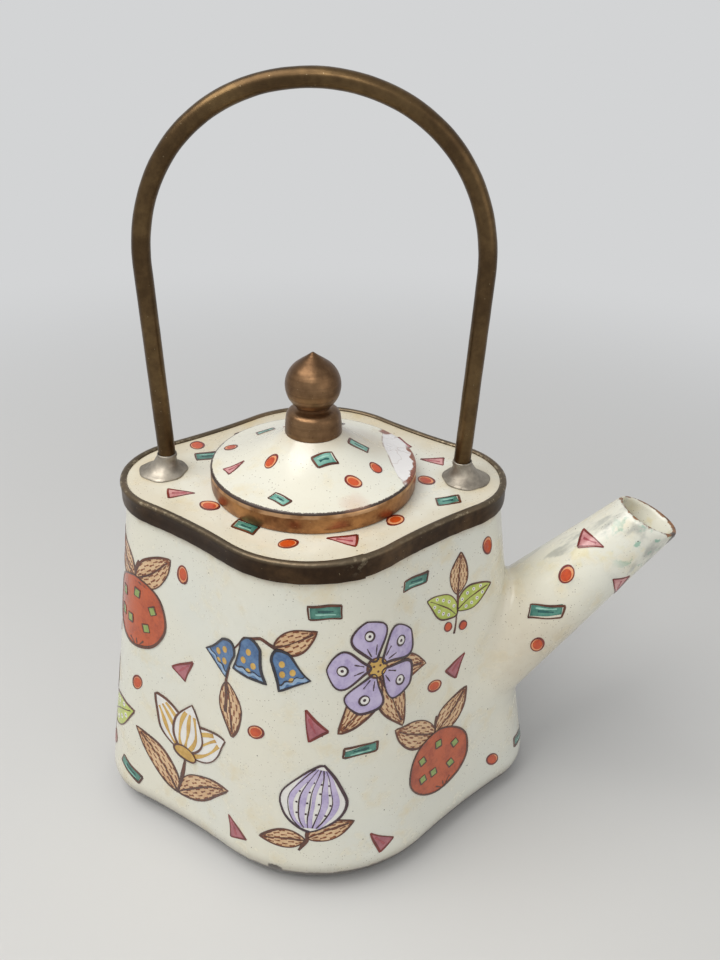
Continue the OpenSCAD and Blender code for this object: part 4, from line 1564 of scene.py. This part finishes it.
def green_sprig():
    """Two green leaves with white dots and a feathery leaf on one stalk, with two berries."""
    motif = Motif()
    stalk(motif, [(0, -7.2), (0.3, -3.0), (0, 1.4)], 0.2)
    green_leaf(motif, (0.2, -3.6), 52, 8.2, 2.3, -0.2)
    green_leaf(motif, (0.2, -2.6), -50, 8.4, 2.3, 0.2)
    feather_leaf(motif, (0, 0.4), 4, 8.0, 2.1, 0.05)
    motif.coat = 1
    for berry in ((-1.7, -5.6), (1.9, -6.0)):
        motif.dot("orange", berry, 0.85)
        motif.ring("dark red", berry, 0.85, 0.11)
    return motif


# %% [markdown]
# ## Laying the designs round the wall
# The designs stand in two staggered rows, each given by its distance round the wall and its turn, and
# the spout's root is kept clear. What is left open is filled with one small sprig and with confetti.

# %% Designs on the wall
UPPER_ROW = 37.2
LOWER_ROW = 16.6
upper_designs = (
    (-31.5, fruit, 6), (-11.5, bells, -4), (9.0, blossom, 0), (50.5, tulip, 5), (66.5, fruit, -6),
    (-66.0, blossom, 4), (-49.0, striped_pod, 8))
lower_designs = (
    (-39.5, green_sprig, 4), (-21.0, tulip, -6), (-2.5, striped_pod, 6), (17.7, fruit, 2),
    (53.0, bells, 0), (74.5, green_sprig, 0), (-57.5, fruit, 0))
for row, designs in ((UPPER_ROW, upper_designs), (LOWER_ROW, lower_designs)):
    for at, design, turn in designs:
        motif = design()
        height = row + hand.uniform(-0.6, 0.6)
        motif.put(on_wall, (at, height), turn, hand.uniform(1.14, 1.22))
green_sprig().put(on_wall, (25.0, 41.8), -14, 0.82)
scatter(on_wall, orange_oval, 1.0,
        (-22.5, 46.2, 20), (18.8, 29.2, 40), (31.5, 47.6, -30), (-30.5, 24.6, 10), (27.6, 8.4, 60),
        (-8.4, 27.6, -30), (42.5, 46, 20), (-58, 44.8, 0), (69.5, 27.8, 10), (-47.5, 26.4, 50))
scatter(on_wall, long_block, 1.0,
        (2.2, 47.6, 85), (-30.8, 7.6, 70), (5.4, 25.2, 80), (17.6, 47.4, 75), (-41.9, 43.2, 80),
        (59.4, 42.0, 80), (45.5, 8.6, 70), (-68.0, 25.3, 75), (-48.5, 8.2, 60), (35.4, 7.6, 75))
scatter(on_wall, wall_wedge, 1.2,
        (-21.6, 31.4, -30), (6.6, 8.2, 40), (23.4, 30.6, -50), (-12.0, 8.4, 20), (-0.6, 30.4, 30),
        (-57, 28.2, 30), (58.6, 28.4, -20), (-39.5, 30.2, 40), (41.0, 15.5, -30), (65.0, 8.4, 20))
print("marks in all:", sum(len(group) for group in marks.values()))

# %% [markdown]
# ## Glazes
# The coloured glazes are as glossy as the ivory one. A brush leaves them uneven: thin in the middle of
# a stroke, darker where the colour pooled at its edge. The stroke's own UV map tells the middle from
# the edge. Each glaze has a thin and a full tone.

# %% Glazes
GLAZES = {
    "orange": (tint(210, 82, 24), tint(174, 50, 10)),
    "rust": (tint(196, 88, 40), tint(158, 60, 24)),
    "peach": (tint(236, 168, 118), tint(222, 130, 76)),
    "dark red": (tint(126, 36, 26), tint(92, 22, 18)),
    "teal": (tint(136, 188, 172), tint(84, 148, 134)),
    "sea green": (tint(88, 150, 134), tint(38, 98, 86)),
    "pale teal": (tint(168, 212, 198), tint(132, 190, 174)),
    "deep teal": (tint(26, 92, 88), tint(14, 62, 62)),
    "pink": (tint(216, 158, 156), tint(186, 112, 116)),
    "mauve": (tint(184, 110, 118), tint(150, 78, 90)),
    "rose": (tint(178, 84, 92), tint(150, 62, 72)),
    "brown": (tint(98, 50, 28), tint(66, 30, 18)),
    "hatch brown": (tint(142, 78, 38), tint(104, 50, 24)),
    "tan": (tint(226, 192, 150), tint(204, 158, 112)),
    "lilac": (tint(202, 190, 222), tint(166, 150, 196)),
    "plum": (tint(66, 36, 46), tint(42, 22, 30)),
    "ochre": (tint(218, 178, 92), tint(186, 140, 54)),
    "lime": (tint(200, 212, 104), tint(164, 182, 66)),
    "white": (tint(240, 238, 232), tint(228, 226, 222)),
    "sage": (tint(150, 172, 92), tint(112, 140, 66)),
    "blue": (tint(92, 128, 170), tint(52, 88, 134)),
    "pale blue": (tint(150, 178, 206), tint(120, 152, 188)),
    "ink": (tint(40, 34, 46), tint(24, 20, 30)),
}


def glaze(name, thin, full):
    """A brushed glaze between a thin and a full tone."""
    finish = Finish("glaze_" + name.replace(" ", "_"))
    uv = finish.add("ShaderNodeTexCoord", output="UV")
    along = finish.add("ShaderNodeSeparateXYZ", None, {0: uv}, "X")
    across = finish.add("ShaderNodeSeparateXYZ", None, {0: uv}, "Y")
    edge = abs(across * 2 - 1) ** 4 + abs(along * 2 - 1) ** 6
    pooled = edge.between(0.2, 1.2)
    wash = finish.noise(0.45, 3.0, 0.6).between(0.3, 0.7)
    grain = finish.noise(2.6, 3.0, 0.6).between(0.35, 0.7)
    share = wash * 0.55 + grain * 0.25 + pooled * 0.35
    colour = finish.mix(share.between(0.1, 0.95), thin, full)
    normal = finish.bump(grain * 0.3 + pooled * 0.4, 0.5, 0.04)
    roughness = 0.16 + grain * 0.1
    return finish.surface(colour, roughness, normal, IOR=1.52, Coat_Weight=0.3, Coat_Roughness=0.06)


glazes = {colour: glaze(colour, *tones) for colour, tones in GLAZES.items()}
print(len(glazes), "glazes")

# %% [markdown]
# ## Laying on the paint
# All marks of one colour and kind become one object. A small grid is repeated by an Array modifier, its
# points are laid on the surface, and Solidify gives the coat its thickness down into the enamel. Lines
# lie higher than fills, some colours a hair higher than others, and each coat above the one before, so
# that no two skins share a face.

# %% Laying on the paint
KIND_NAME = {FILL: "fills", DOT: "dots", LINE: "lines", DASH: "dashes"}
LIFT = {FILL: 0.030, DOT: 0.045, LINE: 0.060, DASH: 0.052}
OVER = {"orange": 0.004, "ochre": 0.004, "lilac": 0.004, "plum": 0.010, "brown": 0.008, "ink": 0.010}
COAT = 0.045
BOTTOM = 0.03


def paint(on_the_lid, colour, kind, group):
    """One object for all marks of a colour and kind."""
    bpy.ops.object.select_all(action="DESELECT")
    bpy.ops.mesh.primitive_grid_add(x_subdivisions=kind[0], y_subdivisions=kind[1], size=2 * MM)
    piece = bpy.context.object
    body = "lid" if on_the_lid else "pot"
    piece.name = "_".join((body, colour.replace(" ", "_"), KIND_NAME[kind]))
    apply_modifier(piece, "ARRAY", count=len(group))
    lift = LIFT[kind] + OVER.get(colour, 0.0)
    laid = []
    for place, flat, coat in group:
        laid.append(place(flat.transpose(1, 0, 2).reshape(-1, 2), lift + coat * COAT))
    set_points(piece, np.concatenate(laid))
    apply_modifier(piece, "SOLIDIFY", thickness=(lift + BOTTOM) * MM, offset=-1)
    smooth(piece, 40)
    dress(piece, glazes[colour])
    put_on(piece, body, "enamel")


for (on_the_lid, colour, kind), group in sorted(marks.items()):
    paint(on_the_lid, colour, kind, group)

# %% [markdown]
# ## Floor and backdrop
# A plain pale floor fades into an even, pale backdrop. The backdrop is only there for rays that come
# from the camera or from a shiny surface, so it adds no light of its own to the pot and the floor keeps
# the pot's shadow. The world does the same: it is pale to look at, and a dim fill light for everything
# else.

# %% Floor and backdrop
BACKDROP = tint(211, 212, 213)
LOOKING = ("Is Camera Ray", "Is Glossy Ray", "Is Transmission Ray")
bpy.ops.object.select_all(action="DESELECT")
bpy.ops.mesh.primitive_plane_add(size=80, location=(0, 0, 0))
floor = bpy.context.object
floor.name = "floor"


def pale_floor():
    """A matt pale floor that fades into the backdrop away from the pot."""
    finish = Finish("floor_pale")
    tone = finish.noise(0.004, 2.0).between(0.3, 0.7)
    colour = finish.mix(tone, tint(208, 208, 207), tint(212, 212, 210))
    matt = finish.add("ShaderNodeBsdfPrincipled", None, {"Base Color": colour, "Roughness": 0.8})
    backdrop = finish.add("ShaderNodeEmission", None, {"Color": BACKDROP, "Strength": 1.0})
    far = finish.distance_to((0, 0, 0)).between(70, 300)
    share = finish.seen_by(*LOOKING) * far
    blend = finish.add("ShaderNodeMixShader", None, {0: share, 1: matt, 2: backdrop})
    finish.add("ShaderNodeOutputMaterial", None, {0: blend})
    return finish.owner


def pale_world():
    """A dim, cool fill light that looks like the backdrop."""
    finish = Finish("pale_world", "worlds")
    fill = finish.add("ShaderNodeBackground", None, {"Color": (0.95, 0.97, 1.0, 1), "Strength": 0.34})
    backdrop = finish.add("ShaderNodeBackground", None, {"Color": BACKDROP, "Strength": 1.0})
    blend = finish.add("ShaderNodeMixShader", None, {0: finish.seen_by(*LOOKING), 1: fill, 2: backdrop})
    finish.add("ShaderNodeOutputWorld", None, {0: blend})
    return finish.owner


dress(floor, pale_floor())
scene.world = pale_world()
print("floor and world ready")

# %% [markdown]
# ## Lamps
# A large soft lamp above and to the left lights the lid and the left side most. A small one in front
# puts soft glints on the enamel and the metals, and a weak, warm one on the right opens the shadows.

# %% Lamps


def lamp(name, place, target, size, watts, colour):
    """A square soft lamp that looks at a target."""
    data = bpy.data.lights.new(name, "AREA")
    data.size = size * MM
    data.energy = watts
    data.color = colour
    light = bpy.data.objects.new(name, data)
    light.location = Vector(place) * MM
    light.rotation_euler = (Vector(target) - Vector(place)).to_track_quat("-Z", "Y").to_euler()
    scene.collection.objects.link(light)
    print("lamp", name, "of", watts, "W")


lamp("key", (-170, -90, 420), (0, 0, 45), 320, 1.4, (1.0, 0.98, 0.95))
lamp("front", (-10, -265, 345), (0, 0, 70), 120, 0.24, (1.0, 0.98, 0.95))
lamp("fill", (320, -260, 180), (0, 0, 40), 300, 0.22, (1.0, 0.95, 0.88))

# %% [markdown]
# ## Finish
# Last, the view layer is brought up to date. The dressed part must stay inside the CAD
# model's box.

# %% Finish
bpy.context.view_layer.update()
